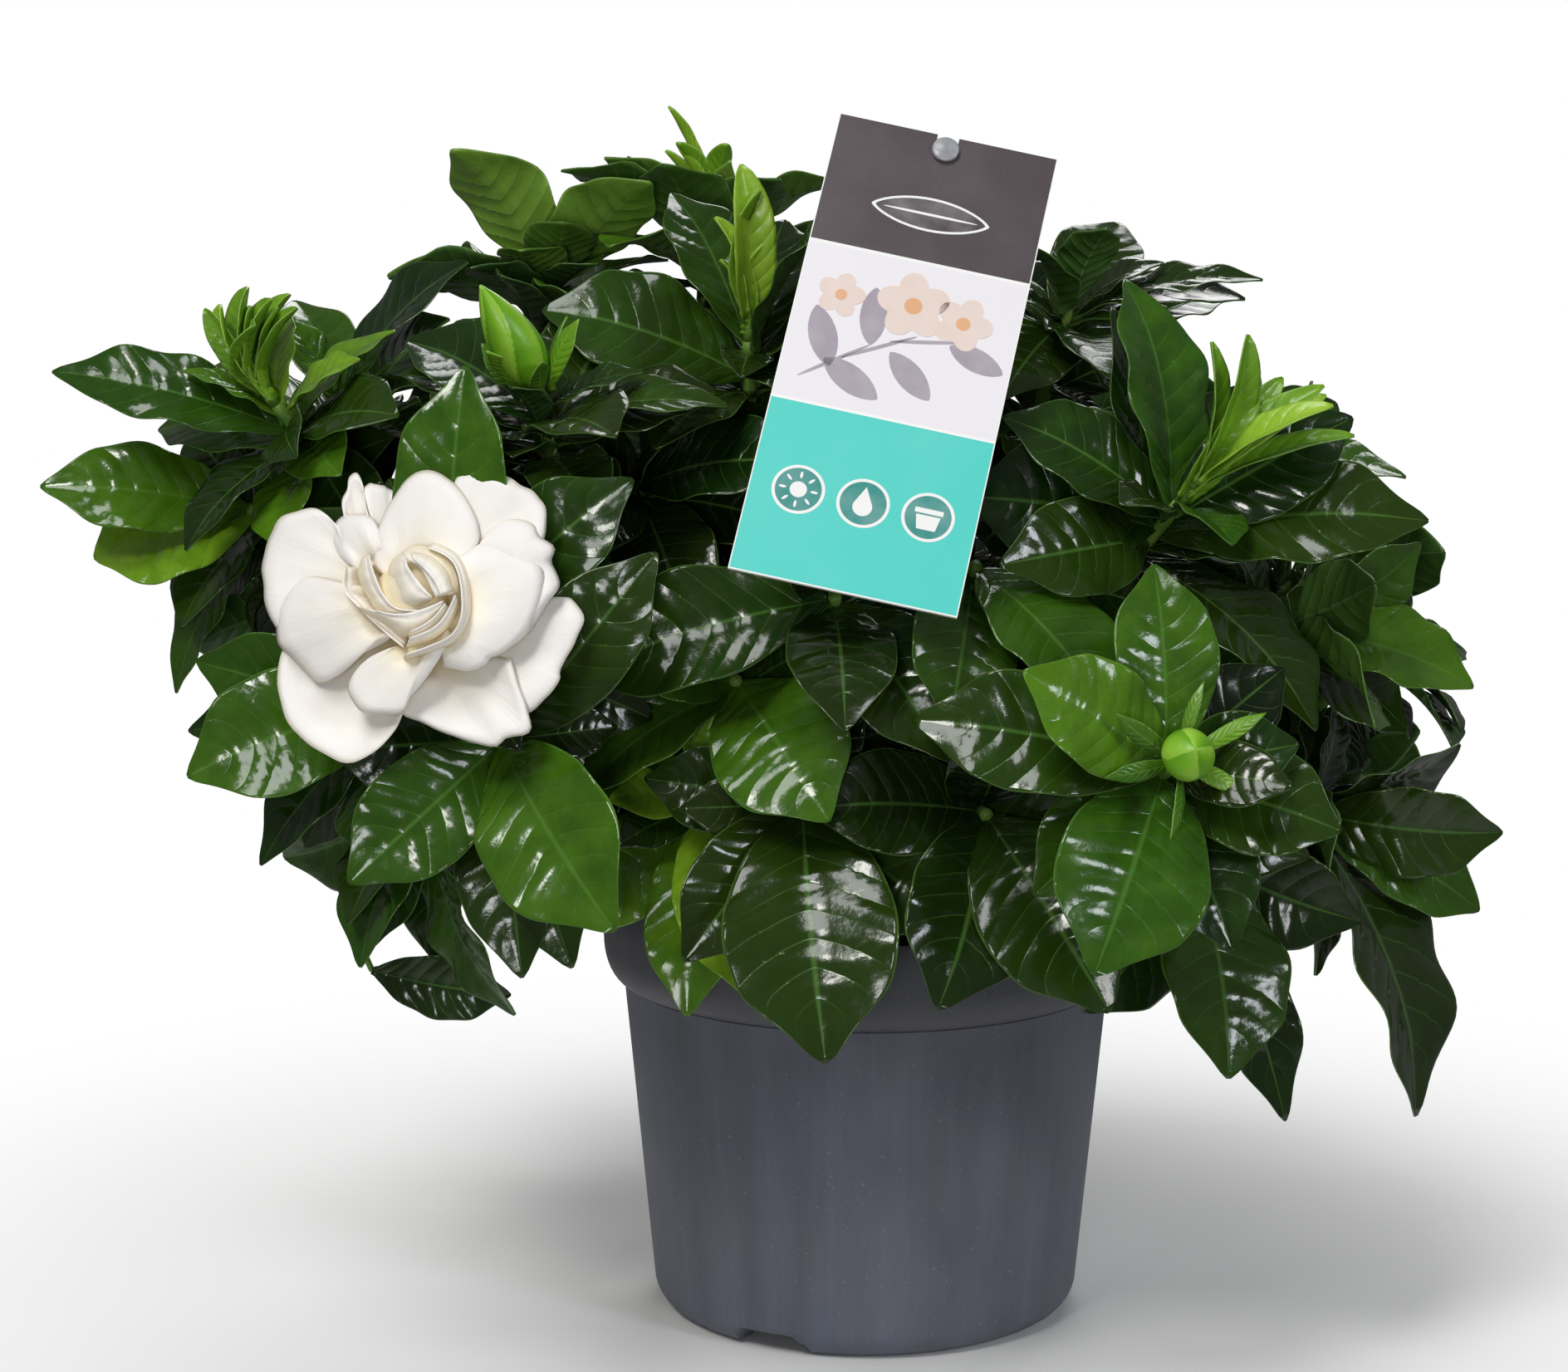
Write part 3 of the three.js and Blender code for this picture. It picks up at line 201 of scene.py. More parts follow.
def budMaterial():
    # A tight bud: waxy, bright green, with painted shade in its furrows and painted light on its ridges
    material, add, shader = newMaterial("waxyBud", IOR=1.46, Roughness=0.34)
    blade = add("SeparateXYZ", [add("UVMap", uv_map="blade")]).node
    where = add("TexCoord", pick="Object")
    mottle = add("TexNoise", {"Vector": where, "Scale": 1 / (6 * metres), "Detail": 4})
    # painted shade in the furrows and painted light on the ridges, from the map's X, with a mottle at random
    shade = add("Math MULTIPLY_ADD", [add("Math SUBTRACT", [mottle, 0.5]), 0.5, blade.outputs["X"]])
    grain = add("TexNoise", {"Vector": where, "Scale": 1 / (1.2 * metres), "Detail": 3})
    wire(
        shader,
        Base_Color=add("ValToRGB", [shade], stops=[(0.1, "#4f8d14"), (0.5, "#76b020"), (0.9, "#9fcb48")]),
        Normal=add("Bump", {"Height": grain, "Strength": 0.25, "Distance": 0.3 * metres}),
    )
    return material


waxyBud = budMaterial()
print("leaf, stem, wood, soil and bud materials made")


def addToScene(name, data, location=(0, 0, 0)):
    made = bpy.data.objects.new(name, data)
    made.location = location
    bpy.context.scene.collection.objects.link(made)
    return made


# Meshes are gathered in a sink: points, faces, each face's material, and two maps for each point
def newSink():
    return {"points": [], "faces": [], "slots": [], "blade": [], "age": [], "count": 0}


def pour(sink, points, faces, slot=0, blade=None, age=(0.5, 0.5)):
    points = np.asarray(points, float).reshape(-1, 3)
    start = sink["count"]
    sink["points"].append(points)
    sink["faces"].extend([tuple(start + k for k in face) for face in faces])
    sink["slots"].extend([slot] * len(faces) if isinstance(slot, int) else slot)
    sink["blade"].append(
        np.full((len(points), 2), 0.5) if blade is None else np.asarray(blade, float).reshape(-1, 2)
    )
    sink["age"].append(np.tile(np.asarray(age, float), (len(points), 1)))
    sink["count"] += len(points)


def makePiece(name, sink, materials, nodes=(), smooth=True):
    mesh = bpy.data.meshes.new(name)
    points = np.concatenate(sink["points"]) * metres
    mesh.from_pydata(points.tolist(), [], sink["faces"])
    corners = np.empty(len(mesh.loops), dtype=np.int32)
    mesh.loops.foreach_get("vertex_index", corners)
    for mapName in ("blade", "age"):
        layer = mesh.uv_layers.new(name=mapName)
        layer.data.foreach_set("uv", np.concatenate(sink[mapName])[corners].astype(np.float32).ravel())
    for material in materials:
        mesh.materials.append(material)
    mesh.polygons.foreach_set("material_index", np.array(sink["slots"], dtype=np.int32))
    mesh.polygons.foreach_set("use_smooth", np.full(len(mesh.polygons), smooth))
    mesh.validate()
    mesh.update()
    piece = addToScene(name, mesh)
    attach(piece, "root")
    if nodes:
        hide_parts(*nodes)
    return piece


def unit(v):
    return v / np.linalg.norm(v)


def heading(bearing, pitch):
    b, p = math.radians(bearing), math.radians(pitch)
    return np.array([math.sin(b) * math.cos(p), -math.cos(b) * math.cos(p), math.sin(p)])


def crossAxes(axis):
    up = np.array([1.0, 0, 0]) if abs(axis[2]) > 0.9 else np.array([0, 0, 1.0])
    side = unit(np.cross(axis, up))
    return side, np.cross(axis, side)


def outward(axis, turn):
    side, over = crossAxes(axis)
    return side * math.cos(turn) + over * math.sin(turn)


def anglesOf(way):
    # Bearing and pitch of a direction, as heading takes them
    return math.degrees(math.atan2(way[0], -way[1])), math.degrees(math.asin(way[2]))


def leaning(axis, turn, spread):
    spread = math.radians(spread)
    return anglesOf(axis * math.cos(spread) + outward(axis, turn) * math.sin(spread))


def gridFaces(rows, columns, start=0, flip=False):
    faces = []
    for i in range(rows - 1):
        for j in range(columns - 1):
            a = start + i * columns + j
            face = (a, a + 1, a + columns + 1, a + columns)
            faces.append(face[::-1] if flip else face)
    return faces


def gridRound(rings, sides):
    faces = []
    for i in range(rings - 1):
        for j in range(sides):
            a, b = i * sides + j, i * sides + (j + 1) % sides
            faces.append((a, b, b + sides, a + sides))
    return faces


def closedRound(rings, sides):
    last = (rings - 1) * sides
    return gridRound(rings, sides) + [tuple(range(sides - 1, -1, -1)), tuple(range(last, last + sides))]


def pourSheet(sink, upper, lower, blade, age, upperSlot=0, lowerSlot=0):
    # A closed blade: an upper and a lower grid of points, joined all round their edges
    rows, columns = upper.shape[:2]
    total = rows * columns
    faces = gridFaces(rows, columns) + gridFaces(rows, columns, total, flip=True)
    slots = [upperSlot] * ((rows - 1) * (columns - 1)) + [lowerSlot] * ((rows - 1) * (columns - 1))
    edge = [i * columns for i in range(rows - 1, 0, -1)] + list(range(columns - 1))
    edge += [i * columns + columns - 1 for i in range(rows - 1)]
    edge += [(rows - 1) * columns + j for j in range(columns - 1, 0, -1)]
    for a, b in zip(edge, edge[1:] + edge[:1]):
        faces.append((b, a, a + total, b + total))
        slots.append(upperSlot)
    points = np.concatenate([upper.reshape(-1, 3), lower.reshape(-1, 3)])
    pour(sink, points, faces, slots, np.concatenate([blade.reshape(-1, 2)] * 2), age)


def pourTube(sink, centres, radii, sides=8, slot=0):
    # A closed tube along a line of centres, with a flat cap at each end
    centres = np.asarray(centres, float)
    tangents = np.gradient(centres, axis=0)
    side = crossAxes(unit(tangents[0]))[0]
    turns = np.arange(sides) * 2 * math.pi / sides
    rings = []
    for centre, tangent, radius in zip(centres, tangents, radii):
        axis = unit(tangent)
        side = unit(side - axis * side.dot(axis))
        over = np.cross(axis, side)
        rings.append(centre + radius * (np.outer(np.cos(turns), side) + np.outer(np.sin(turns), over)))
    around = np.tile(np.arange(sides) / sides, len(rings))
    along = np.repeat(np.linspace(0, 1, len(rings)), sides)
    pour(sink, np.concatenate(rings), closedRound(len(rings), sides), slot, np.stack([around, along], 1))


# Each shoot: the trunk that carries it, its tip, the heading of its green stem and that stem's length.
# leaves: [bearing, pitch, length, width, roll], youngest first. fill: how many leaves a rule adds. young:
# the narrow leaves of a flush.
shoots = {
    "roundBud": {
        "trunk": "right", "tip": [73, -118, 171], "aim": [12, 22], "stem": 34,
        "leaves": [
            [-88, 11, 62, 30], [-64, 34, 47, 27], [-170, 74, 50, 26], [-30, -50, 55, 38], [74, 16, 34, 22],
            [-56, -34, 44, 26], [72, -12, 46, 28], [-74, 8, 27, 16], [40, -52, 46, 27],
        ],
    },
    "underLabel": {
        "trunk": "left", "tip": [-8, -82, 207], "aim": [4, 34], "stem": 26,
        "leaves": [
            [-86, -16, 68, 32], [38, -36, 56, 29], [4, -34, 52, 27], [84, -14, 54, 28], [-30, 60, 40, 22]
        ],
    },
    "topRight": {
        "trunk": "right", "tip": [78, -68, 229], "aim": [44, 46], "stem": 34,
        "leaves": [
            [30, -14, 25, 19], [-150, 70, 61, 28], [-80, 32, 49, 25, -20], [84, 30, 54, 28, 15],
            [-74, 10, 50, 33, -30], [80, 5, 68, 30, 22], [-64, -3, 50, 26, -20], [62, 0, 38, 17, 15],
            [-150, 78, 62, 20], [60, -38, 64, 32],
        ],
        "young": [[60, 58, 38, 9], [74, 40, 44, 8], [80, 20, 43, 7], [20, 74, 38, 8], [100, 50, 34, 8]],
    },
    "bloomRosette": {
        "trunk": "left", "tip": [-103, -96, 199], "aim": [-12, 20], "stem": 26,
        "leaves": [
            [-60, 70, 66, 29], [30, 66, 52, 25], [84, 42, 60, 28], [-60, 50, 46, 24], [72, 24, 46, 30],
            [-84, 18, 50, 26], [90, -22, 50, 26],
        ],
    },
    "frontLeft": {
        "trunk": "left", "tip": [-90, -100, 173], "aim": [-8, 2], "stem": 30,
        "leaves": [
            [38, -38, 62, 36], [-56, -36, 52, 28], [80, 50, 62, 26], [12, -64, 60, 27], [34, -60, 60, 27],
            [-70, 0, 46, 26],
        ],
    },
    "frontCentre": {
        "trunk": "left", "tip": [-16, -86, 155], "aim": [0, 4], "stem": 24,
        "leaves": [[9, -54, 68, 43], [-52, -44, 50, 26], [66, -34, 50, 28], [-80, 10, 40, 22]],
    },
    "midBright": {
        "trunk": "left", "tip": [-33, -76, 185], "aim": [-10, 26], "stem": 24,
        "leaves": [
            [36, -36, 49, 35], [-60, 14, 44, 24], [-75, -24, 48, 26], [60, 28, 40, 24], [-20, 50, 40, 22]
        ],
    },
    "farLeft": {
        "trunk": "left", "tip": [-153, -40, 251], "aim": [-60, 50], "stem": 30,
        "leaves": [
            [170, 68, 25, 17], [70, 35, 26, 16], [-80, 28, 30, 9], [112, 42, 36, 20],
            [-84, 14, 66, 30, -22], [25, -12, 32, 19], [-112, 4, 46, 26], [-10, -30, 36, 22],
        ],
        "young": [[-30, 72, 26, 9], [30, 75, 24, 8], [-75, 55, 26, 7], [60, 60, 24, 9]],
    },
    "lowerLeft": {
        "trunk": "left", "tip": [-164, -22, 222], "aim": [-38, 26], "stem": 30,
        "leaves": [
            [-76, 16, 55, 31], [-80, -14, 44, 26], [60, 52, 40, 22], [-72, -60, 52, 16], [150, 40, 46, 24],
            [-130, -6, 48, 26],
        ],
    },
    "leftLow": {
        "trunk": "left", "tip": [-122, -68, 177], "aim": [-42, 6], "stem": 28,
        "leaves": [
            [-70, -16, 54, 34], [-84, 12, 52, 26], [-72, -46, 54, 20], [-10, -44, 48, 26],
            [-92, -8, 62, 20], [-100, -50, 50, 26],
        ],
    },
    "topCentre": {
        "trunk": "left", "tip": [-31, -30, 267], "aim": [0, 76], "stem": 28,
        "leaves": [
            [-138, 60, 50, 23], [62, 60, 50, 25], [165, 48, 48, 25], [22, -8, 28, 17],
            [-82, 19, 56, 33, -38], [100, 25, 48, 25], [-30, -14, 46, 25], [-120, 22, 52, 28],
        ],
        "young": [[-20, 74, 24, 5], [-60, 66, 20, 5], [30, 70, 22, 5]],
    },
    "crownLeft": {
        "trunk": "backLeft", "tip": [-88, 30, 281], "aim": [176, 58], "stem": 30,
        "leaves": [
            [-58, 52, 46, 29], [62, 42, 44, 27], [-10, 26, 30, 19], [120, 62, 32, 14], [-78, 12, 44, 24],
            [30, 0, 50, 28], [-150, 16, 52, 28], [150, 8, 52, 28],
        ],
    },
    "bigBud": {
        "trunk": "left", "tip": [-83, -60, 252], "aim": [-25, 66], "stem": 26,
        "leaves": [
            [82, 22, 28, 12], [-98, 30, 40, 34], [78, 8, 48, 18], [-50, -6, 38, 22], [150, 38, 50, 28],
            [-140, 20, 46, 30], [20, -14, 40, 22],
        ],
    },
    "topLeft": {
        "trunk": "backLeft", "tip": [-143, 4, 249], "aim": [-20, 62], "stem": 28,
        "leaves": [
            [72, 46, 54, 29], [-60, 58, 30, 12], [-150, 40, 46, 24], [-100, 20, 52, 27], [150, 30, 50, 26],
            [30, 5, 44, 24],
        ],
    },
    "frontMid": {
        "trunk": "right", "tip": [30, -88, 153], "aim": [10, 0], "stem": 26,
        "leaves": [
            [42, -44, 60, 36], [-12, -50, 54, 34], [-64, -10, 48, 27], [70, -6, 50, 28], [10, 44, 44, 26]
        ],
    },
    "rightLow": {
        "trunk": "right", "tip": [118, -45, 145], "aim": [58, -8], "stem": 30,
        "leaves": [
            [80, -4, 48, 25], [86, -30, 55, 20], [56, -64, 84, 32], [-24, -10, 45, 28], [68, 22, 48, 26],
            [130, -20, 50, 26], [10, -50, 50, 26],
        ],
    },
    "frontRight": {
        "trunk": "right", "tip": [82, -84, 141], "aim": [24, -12], "stem": 30,
        "leaves": [
            [14, -58, 57, 30], [58, -66, 70, 18], [-40, -40, 52, 30], [70, -20, 48, 26], [-60, -6, 48, 28]
        ],
    },
    "right": {
        "trunk": "right", "tip": [113, -40, 193], "aim": [62, 12], "stem": 32,
        "leaves": [
            [80, -16, 47, 28], [22, -20, 50, 28], [104, 30, 44, 20], [-30, 10, 44, 25], [140, 18, 50, 28],
            [50, 24, 42, 24], [100, -30, 50, 27],
        ],
    },
    "labelRight": {
        "trunk": "right", "tip": [27, -82, 215], "aim": [24, 46], "stem": 28,
        "leaves": [[52, -38, 50, 31], [-10, -50, 48, 27], [80, 14, 50, 27], [100, -20, 50, 26]],
    },
    "gapYoung": {
        "trunk": "left", "tip": [-42, -66, 153], "aim": [-4, 34], "stem": 22,
        "leaves": [
            [-60, 6, 26, 14], [82, 20, 33, 16], [22, -50, 55, 26], [-8, -62, 54, 25], [-70, -30, 48, 26],
            [-90, 30, 40, 20],
        ],
        "young": [[-20, 76, 25, 6], [30, 70, 23, 6]],
    },
    "hangLeft": {
        "trunk": "left", "tip": [-114, -60, 149], "aim": [-38, -24], "stem": 26,
        "leaves": [
            [42, -55, 60, 21], [-34, -52, 48, 24], [-84, -24, 52, 26], [-70, -62, 44, 22],
            [10, -70, 50, 24], [-130, -20, 48, 26],
        ],
    },
    "crown": {
        "trunk": "backLeft", "tip": [-45, 45, 293], "aim": [170, 72], "stem": 30,
        "leaves": [
            [-110, 60, 32, 18], [34, 62, 26, 8], [-60, 40, 40, 22], [90, 30, 44, 24], [170, 30, 46, 24],
            [-30, 10, 48, 26], [-130, 12, 52, 27], [110, 5, 52, 27],
        ],
        "young": [[-100, 60, 24, 6], [-140, 66, 22, 6], [-70, 66, 20, 5]],
    },
    "behindLabel": {
        "trunk": "backRight", "tip": [55, 18, 275], "aim": [30, 64], "stem": 34,
        "leaves": [
            [22, 44, 32, 16], [-30, 36, 36, 20], [82, 12, 54, 16], [-24, -20, 48, 26], [-100, 30, 46, 24],
            [150, 40, 48, 25], [110, 14, 52, 27], [-150, 14, 50, 26],
        ],
    },
    "shoulder": {
        "trunk": "right", "tip": [98, -6, 229], "aim": [70, 44], "stem": 34,
        "leaves": [
            [84, 4, 46, 26], [20, 10, 50, 26], [130, 26, 50, 26], [-40, 22, 46, 25], [60, 42, 44, 22],
            [170, 14, 48, 26], [90, -24, 50, 26],
        ],
    },
    "midLeft": {
        "trunk": "left", "tip": [-60, -40, 231], "aim": [-10, 44], "stem": 26,
        "leaves": [
            [60, 10, 50, 27], [-30, -14, 46, 26], [90, -14, 52, 27], [20, -34, 50, 27], [110, 30, 46, 25],
            [150, 20, 46, 25],
        ],
    },
    "rightEdge": {
        "trunk": "backRight", "tip": [140, 4, 182], "aim": [84, 44], "stem": 24,
        "leaves": [
            [76, 76, 30, 18], [120, 0, 32, 20], [30, -26, 42, 24], [-20, 34, 36, 20], [150, 10, 46, 25]
        ],
    },
    "backA": {"trunk": "backRight", "tip": [128, 40, 199], "aim": [108, 24], "stem": 34, "fill": 8},
    "backB": {"trunk": "backRight", "tip": [92, 96, 179], "aim": [140, 10], "stem": 34, "fill": 8},
    "backC": {"trunk": "backRight", "tip": [58, 84, 241], "aim": [148, 42], "stem": 34, "fill": 8},
    "backD": {"trunk": "backRight", "tip": [14, 112, 189], "aim": [174, 14], "stem": 34, "fill": 8},
    "backE": {"trunk": "backRight", "tip": [8, 60, 277], "aim": [165, 64], "stem": 34, "fill": 8},
    "backF": {"trunk": "backLeft", "tip": [-44, 104, 219], "aim": [-164, 30], "stem": 34, "fill": 8},
    "backG": {"trunk": "backLeft", "tip": [-100, 88, 181], "aim": [-136, 8], "stem": 34, "fill": 8},
    "backH": {"trunk": "backLeft", "tip": [-104, 66, 235], "aim": [-128, 40], "stem": 34, "fill": 8},
    "backI": {"trunk": "backLeft", "tip": [-150, 30, 193], "aim": [-104, 12], "stem": 34, "fill": 8},
    "backJ": {"trunk": "backRight", "tip": [118, 24, 153], "aim": [110, -8], "stem": 30, "fill": 7},
    "backK": {"trunk": "backRight", "tip": [48, 92, 151], "aim": [158, -10], "stem": 28, "fill": 7},
    "backL": {"trunk": "backLeft", "tip": [-50, 88, 149], "aim": [-156, -12], "stem": 28, "fill": 7},
}

# How new each shoot's leaves look, from 0 (old, dark) to 1 (new, bright), and single leaves that differ
# The values are partly the leaves' own age and partly painted shade and light: shoots in the middle of the
# plant are set darker, some on the left and in the crown lighter.
freshnessAndShade = {
    "usual": 0.24, "newestBonus": 0.12, "bonusEnds": 1.4, "lossPerLeaf": 0.03, "spreadOfDraws": 0.26,
    "addedLeaves": 0.8,
    "shoots": {
        "farLeft": 0.82, "lowerLeft": 0.64, "topLeft": 0.5, "crownLeft": 0.85, "crown": 0.8,
        "gapYoung": 0.9, "midBright": 0.46, "roundBud": 0.46, "bigBud": 0.3, "bloomRosette": 0.3,
        "frontLeft": 0.36, "topRight": 0.44, "underLabel": 0.08, "labelRight": 0.25, "leftLow": 0.4,
        "frontMid": 0.14, "frontCentre": 0.13, "rightLow": 0.12, "midLeft": 0.16, "topCentre": 0.2,
        "frontRight": 0.15, "right": 0.44, "rightEdge": 0.42, "hangLeft": 0.34,
    },
    "leaves": {
        ("farLeft", 4): 0.45, ("lowerLeft", 1): 0.88, ("lowerLeft", 0): 0.66, ("farLeft", 3): 0.85,
        ("farLeft", 7): 0.75, ("farLeft", 0): 0.95, ("farLeft", 1): 0.9, ("frontLeft", 0): 0.62,
        ("midBright", 0): 0.6, ("roundBud", 0): 0.3, ("roundBud", 3): 0.56, ("roundBud", 7): 0.95,
        ("roundBud", 2): 0.6, ("roundBud", 1): 0.75, ("bigBud", 1): 0.28, ("topLeft", 0): 0.25,
        ("topCentre", 4): 0.34, ("gapYoung", 1): 0.8, ("bloomRosette", 0): 0.6, ("bloomRosette", 1): 0.25,
        ("bloomRosette", 2): 0.3, ("rightLow", 1): 0.5,
    },
}

leaf = {
    "thickness": 0.8, "arch": 0.09, "fold": 0.22, "firstLeaf": 1.5, "spacing": 2.1, "rootOffset": 0.7,
    "quilt": 1.3, "wave": 1.25, "frontGrid": (38, 13), "backGrid": (30, 9), "innerGrid": (18, 7),
    "groove": 0.3, "midrib": 0.45, "edgeShare": 0.55, "usualLength": 55, "matchWithin": 0.05,
}
ruleLeaf = {
    "shortest": 46, "longest": 64, "narrowest": 0.48, "broadest": 0.56, "turn": 137.5, "spread": 48,
    "spreadStep": 9, "newest": 2, "newestSize": 0.7,
}
stemRadius, stemFootRadius = 1.7, 1.9
gap = 0.3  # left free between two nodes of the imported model
# How a leaf of the solids may have been moved to clear its neighbours: turn, lift, roll, size
bends = [(0, 0, 0, 1)] + [
    (turn, lift, roll, size)
    for size in (1, 0.86, 0.72)
    for turn in (0, -7, 7, -14, 14, -22, 22, -30, 30)
    for lift in (0, 8, -8, 16, -16, 25, -25)
    for roll in (0, 25, -25)
]


def shootAxis(shoot):
    return heading(*shoot["aim"])


def stemPoint(shoot, down):
    # The place that far down the shoot's stem from its tip, or beyond the tip where down is negative
    return np.array(shoot["tip"], float) - shootAxis(shoot) * down


def shootRoot(shoot):
    return stemPoint(shoot, shoot["stem"])


def seededDraws(seed):
    # The draws that the solids were made with
    state = seed
    while True:
        state = (state * 16807) % 2147483647
        yield state / 2147483647


def leafRecords(shoot, draws):
    # The listed leaves, then those that the rule adds
    records = [list(record) + [0] * (5 - len(record)) for record in shoot.get("leaves", [])]
    for i in range(shoot.get("fill", 0)):
        turn = math.radians(i * ruleLeaf["turn"] + 360 * next(draws))
        spread = ruleLeaf["spread"] + ruleLeaf["spreadStep"] * i * (0.7 + 0.3 * next(draws))
        size = ruleLeaf["newestSize"] if i < ruleLeaf["newest"] else 1
        length = ruleLeaf["shortest"] + (ruleLeaf["longest"] - ruleLeaf["shortest"]) * next(draws)
        broad = ruleLeaf["narrowest"] + (ruleLeaf["broadest"] - ruleLeaf["narrowest"]) * next(draws)
        angles = leaning(shootAxis(shoot), turn, spread)
        records.append([*angles, length * size, length * broad * size, 0])
    return records


def leafRoot(shoot, i, record):
    axis = shootAxis(shoot)
    along = heading(record[0], record[1])
    out = unit(along - axis * axis.dot(along))
    return stemPoint(shoot, leaf["firstLeaf"] + leaf["spacing"] * i) + out * leaf["rootOffset"]


def leafFrame(root, record, axis):
    bearing, pitch, length, width, roll = record
    along = heading(bearing, pitch)
    face = unit(axis - along * axis.dot(along))
    side = np.cross(along, face)
    turn = math.radians(roll)
    face = unit(face * math.cos(turn) + side * math.sin(turn))
    across = unit(np.cross(along, face))
    return {"root": root, "along": along, "face": face, "across": across, "length": length, "half": width / 2}


def leafOutline(t):
    return 2.83 * (t ** 1.15 * (1 - t ** 1.15)) ** 0.75


def archedPoints(blade, t, across, rise, droop=0):
    # Points and normals of the arched blade at t, from root to tip: so far across it and raised off it
    normal = blade["face"] - blade["along"] * (4 * leaf["arch"] * (1 - 2 * t))[..., None]
    normal = normal / np.linalg.norm(normal, axis=-1, keepdims=True)
    bow = blade["length"] * 4 * leaf["arch"] * t * (1 - t) + droop
    point = blade["root"] + blade["along"] * (blade["length"] * t)[..., None] + blade["face"] * bow[..., None]
    return point + blade["across"] * across[..., None] + normal * rise[..., None], normal


def leafPoints(blade, t, s):
    # The plain blade, as the solids have it, at t and at s from edge to edge
    t, s = np.broadcast_arrays(np.asarray(t, float), np.asarray(s, float))
    reach = blade["half"] * leafOutline(np.clip(t, 0, 1))
    return archedPoints(blade, t, reach * s, reach * leaf["fold"] * np.abs(s))


def smoothStep(low, high, x):
    x = np.clip((x - low) / (high - low), 0, 1)
    return x * x * (3 - 2 * x)


def pourLeaf(sink, blade, age, rng, grid, slots=(0, 1)):
    # A finished blade on the plain one: rounded fold, pillows between the side veins, a waved margin,
    # a short stalk at the root and a drawn-out tip. The blade may bring its own fold, quilt and wave.
    fold, quilt, wave = [blade.get(key, leaf[key]) for key in ("fold", "quilt", "wave")]
    rows, columns = grid
    t = np.linspace(0.004, 0.996, rows)[:, None]
    s = np.sin(np.linspace(-1, 1, columns) * math.pi / 2 * 0.92)[None, :] / math.sin(math.pi / 2 * 0.92)
    t, s = np.broadcast_arrays(t, s)
    away, swell = np.abs(s), np.sin(math.pi * t)
    oval = leafOutline(t) * (1 - 0.34 * smoothStep(0.74, 0.95, t))
    strap = (0.55 + 0.45 * smoothStep(0.0, 0.3, t)) * (1 - t ** 5) ** 0.6
    reach = blade["half"] * (oval + (strap - oval) * blade.get("strap", 0))
    reach = np.maximum(reach, 0.75 * (1 - smoothStep(0.0, 0.14, t)) + 0.12)
    cycles = rng.uniform(2.2, 3.6)
    edge = np.sin(2 * math.pi * (cycles * t + rng.random()) + np.where(s > 0, rng.uniform(0, 3), 0))
    size = blade["length"] / leaf["usualLength"]
    rise = reach * fold * (np.sqrt(away ** 2 + 0.02) - 0.14 - 0.12 * away ** 4)
    rise = rise + wave * size * edge * away ** 2 * swell  # the waved margin
    phase = veins["pairs"] * (t - veins["slant"] * away ** veins["curve"])
    pillow = np.abs(np.sin(math.pi * phase)) ** 0.7
    bulk = swell ** 0.5 * (1 - away ** 3) * (1 - smoothStep(0.7, 0.95, t))
    rise = rise + quilt * size * (pillow - 0.5) * bulk * smoothStep(0.0, 0.25, away)
    rise = rise - leaf["groove"] * np.exp(-(s / 0.09) ** 2) * swell ** 0.5
    lean = rng.uniform(-0.03, 0.03) * blade["length"] * swell
    droop = -rng.uniform(0, 0.025) * blade["length"] * smoothStep(0.7, 1.0, t)
    point, normal = archedPoints(blade, t, reach * s + lean * 0.4, rise, droop)
    thick = leaf["thickness"] * (leaf["edgeShare"] * (1 - away ** 6) + 0.12)
    thick = thick + leaf["midrib"] * np.exp(-(s / 0.1) ** 2) * (1 - t)
    stalk = 1.6 * (1 - smoothStep(0.0, 0.12, t))
    lower = point - normal * (thick + stalk)[..., None]
    upper = point + normal * (0.15 + 0.25 * stalk)[..., None]
    pourSheet(sink, upper, lower, np.stack([0.5 + 0.5 * s, t], -1), age, *slots)


def coarseLeaf(blade, grow=0.0, firstRow=0):
    # The corners and the shape of a light closed stand-in for a leaf, for the tests that keep leaves off
    # each other. From row 1 it leaves out the root, which may touch its neighbours on the stem.
    t, s = np.array([0.02, 0.25, 0.5, 0.75, 0.98])[:, None], np.array([-1.0, 0, 1.0])[None, :]
    rows, columns = len(t), s.size
    point, normal = leafPoints(blade, t, s)
    half = leaf["thickness"] / 2 + grow
    points = np.concatenate([(point + normal * half).reshape(-1, 3), (point - normal * half).reshape(-1, 3)])
    faces = gridFaces(rows, columns) + gridFaces(rows, columns, rows * columns, flip=True)
    faces = [face for face in faces if min(face) % (rows * columns) >= firstRow * columns]
    return points, BVHTree.FromPolygons(points.tolist(), faces)


def matchLeaf(tree, root, record, axis):
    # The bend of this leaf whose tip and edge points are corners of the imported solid, or None
    for turn, lift, roll, size in bends:
        bent = [record[0] + turn, record[1] + lift, record[2] * size, record[3] * size, record[4] + roll]
        tip = root + heading(bent[0], bent[1]) * bent[2]
        if tree.find(Vector(tip))[2] > leaf["matchWithin"]:
            continue
        blade = leafFrame(root, bent, axis)
        points, normals = leafPoints(blade, np.array([0.73, 0.73]), np.array([-1.0, 1.0]))
        points = points + normals * leaf["thickness"] / 2
        if any(tree.find(Vector(p))[2] < leaf["matchWithin"] for p in points):
            return blade
    return None


def treeOf(node):
    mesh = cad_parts[node].data
    tree = KDTree(len(mesh.vertices))
    for vertex in mesh.vertices:
        tree.insert(vertex.co / metres, vertex.index)
    tree.balance()
    return tree


def shapeOf(node):
    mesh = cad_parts[node].data
    points = [vertex.co / metres for vertex in mesh.vertices]
    return BVHTree.FromPolygons(points, [tuple(p.vertices) for p in mesh.polygons])


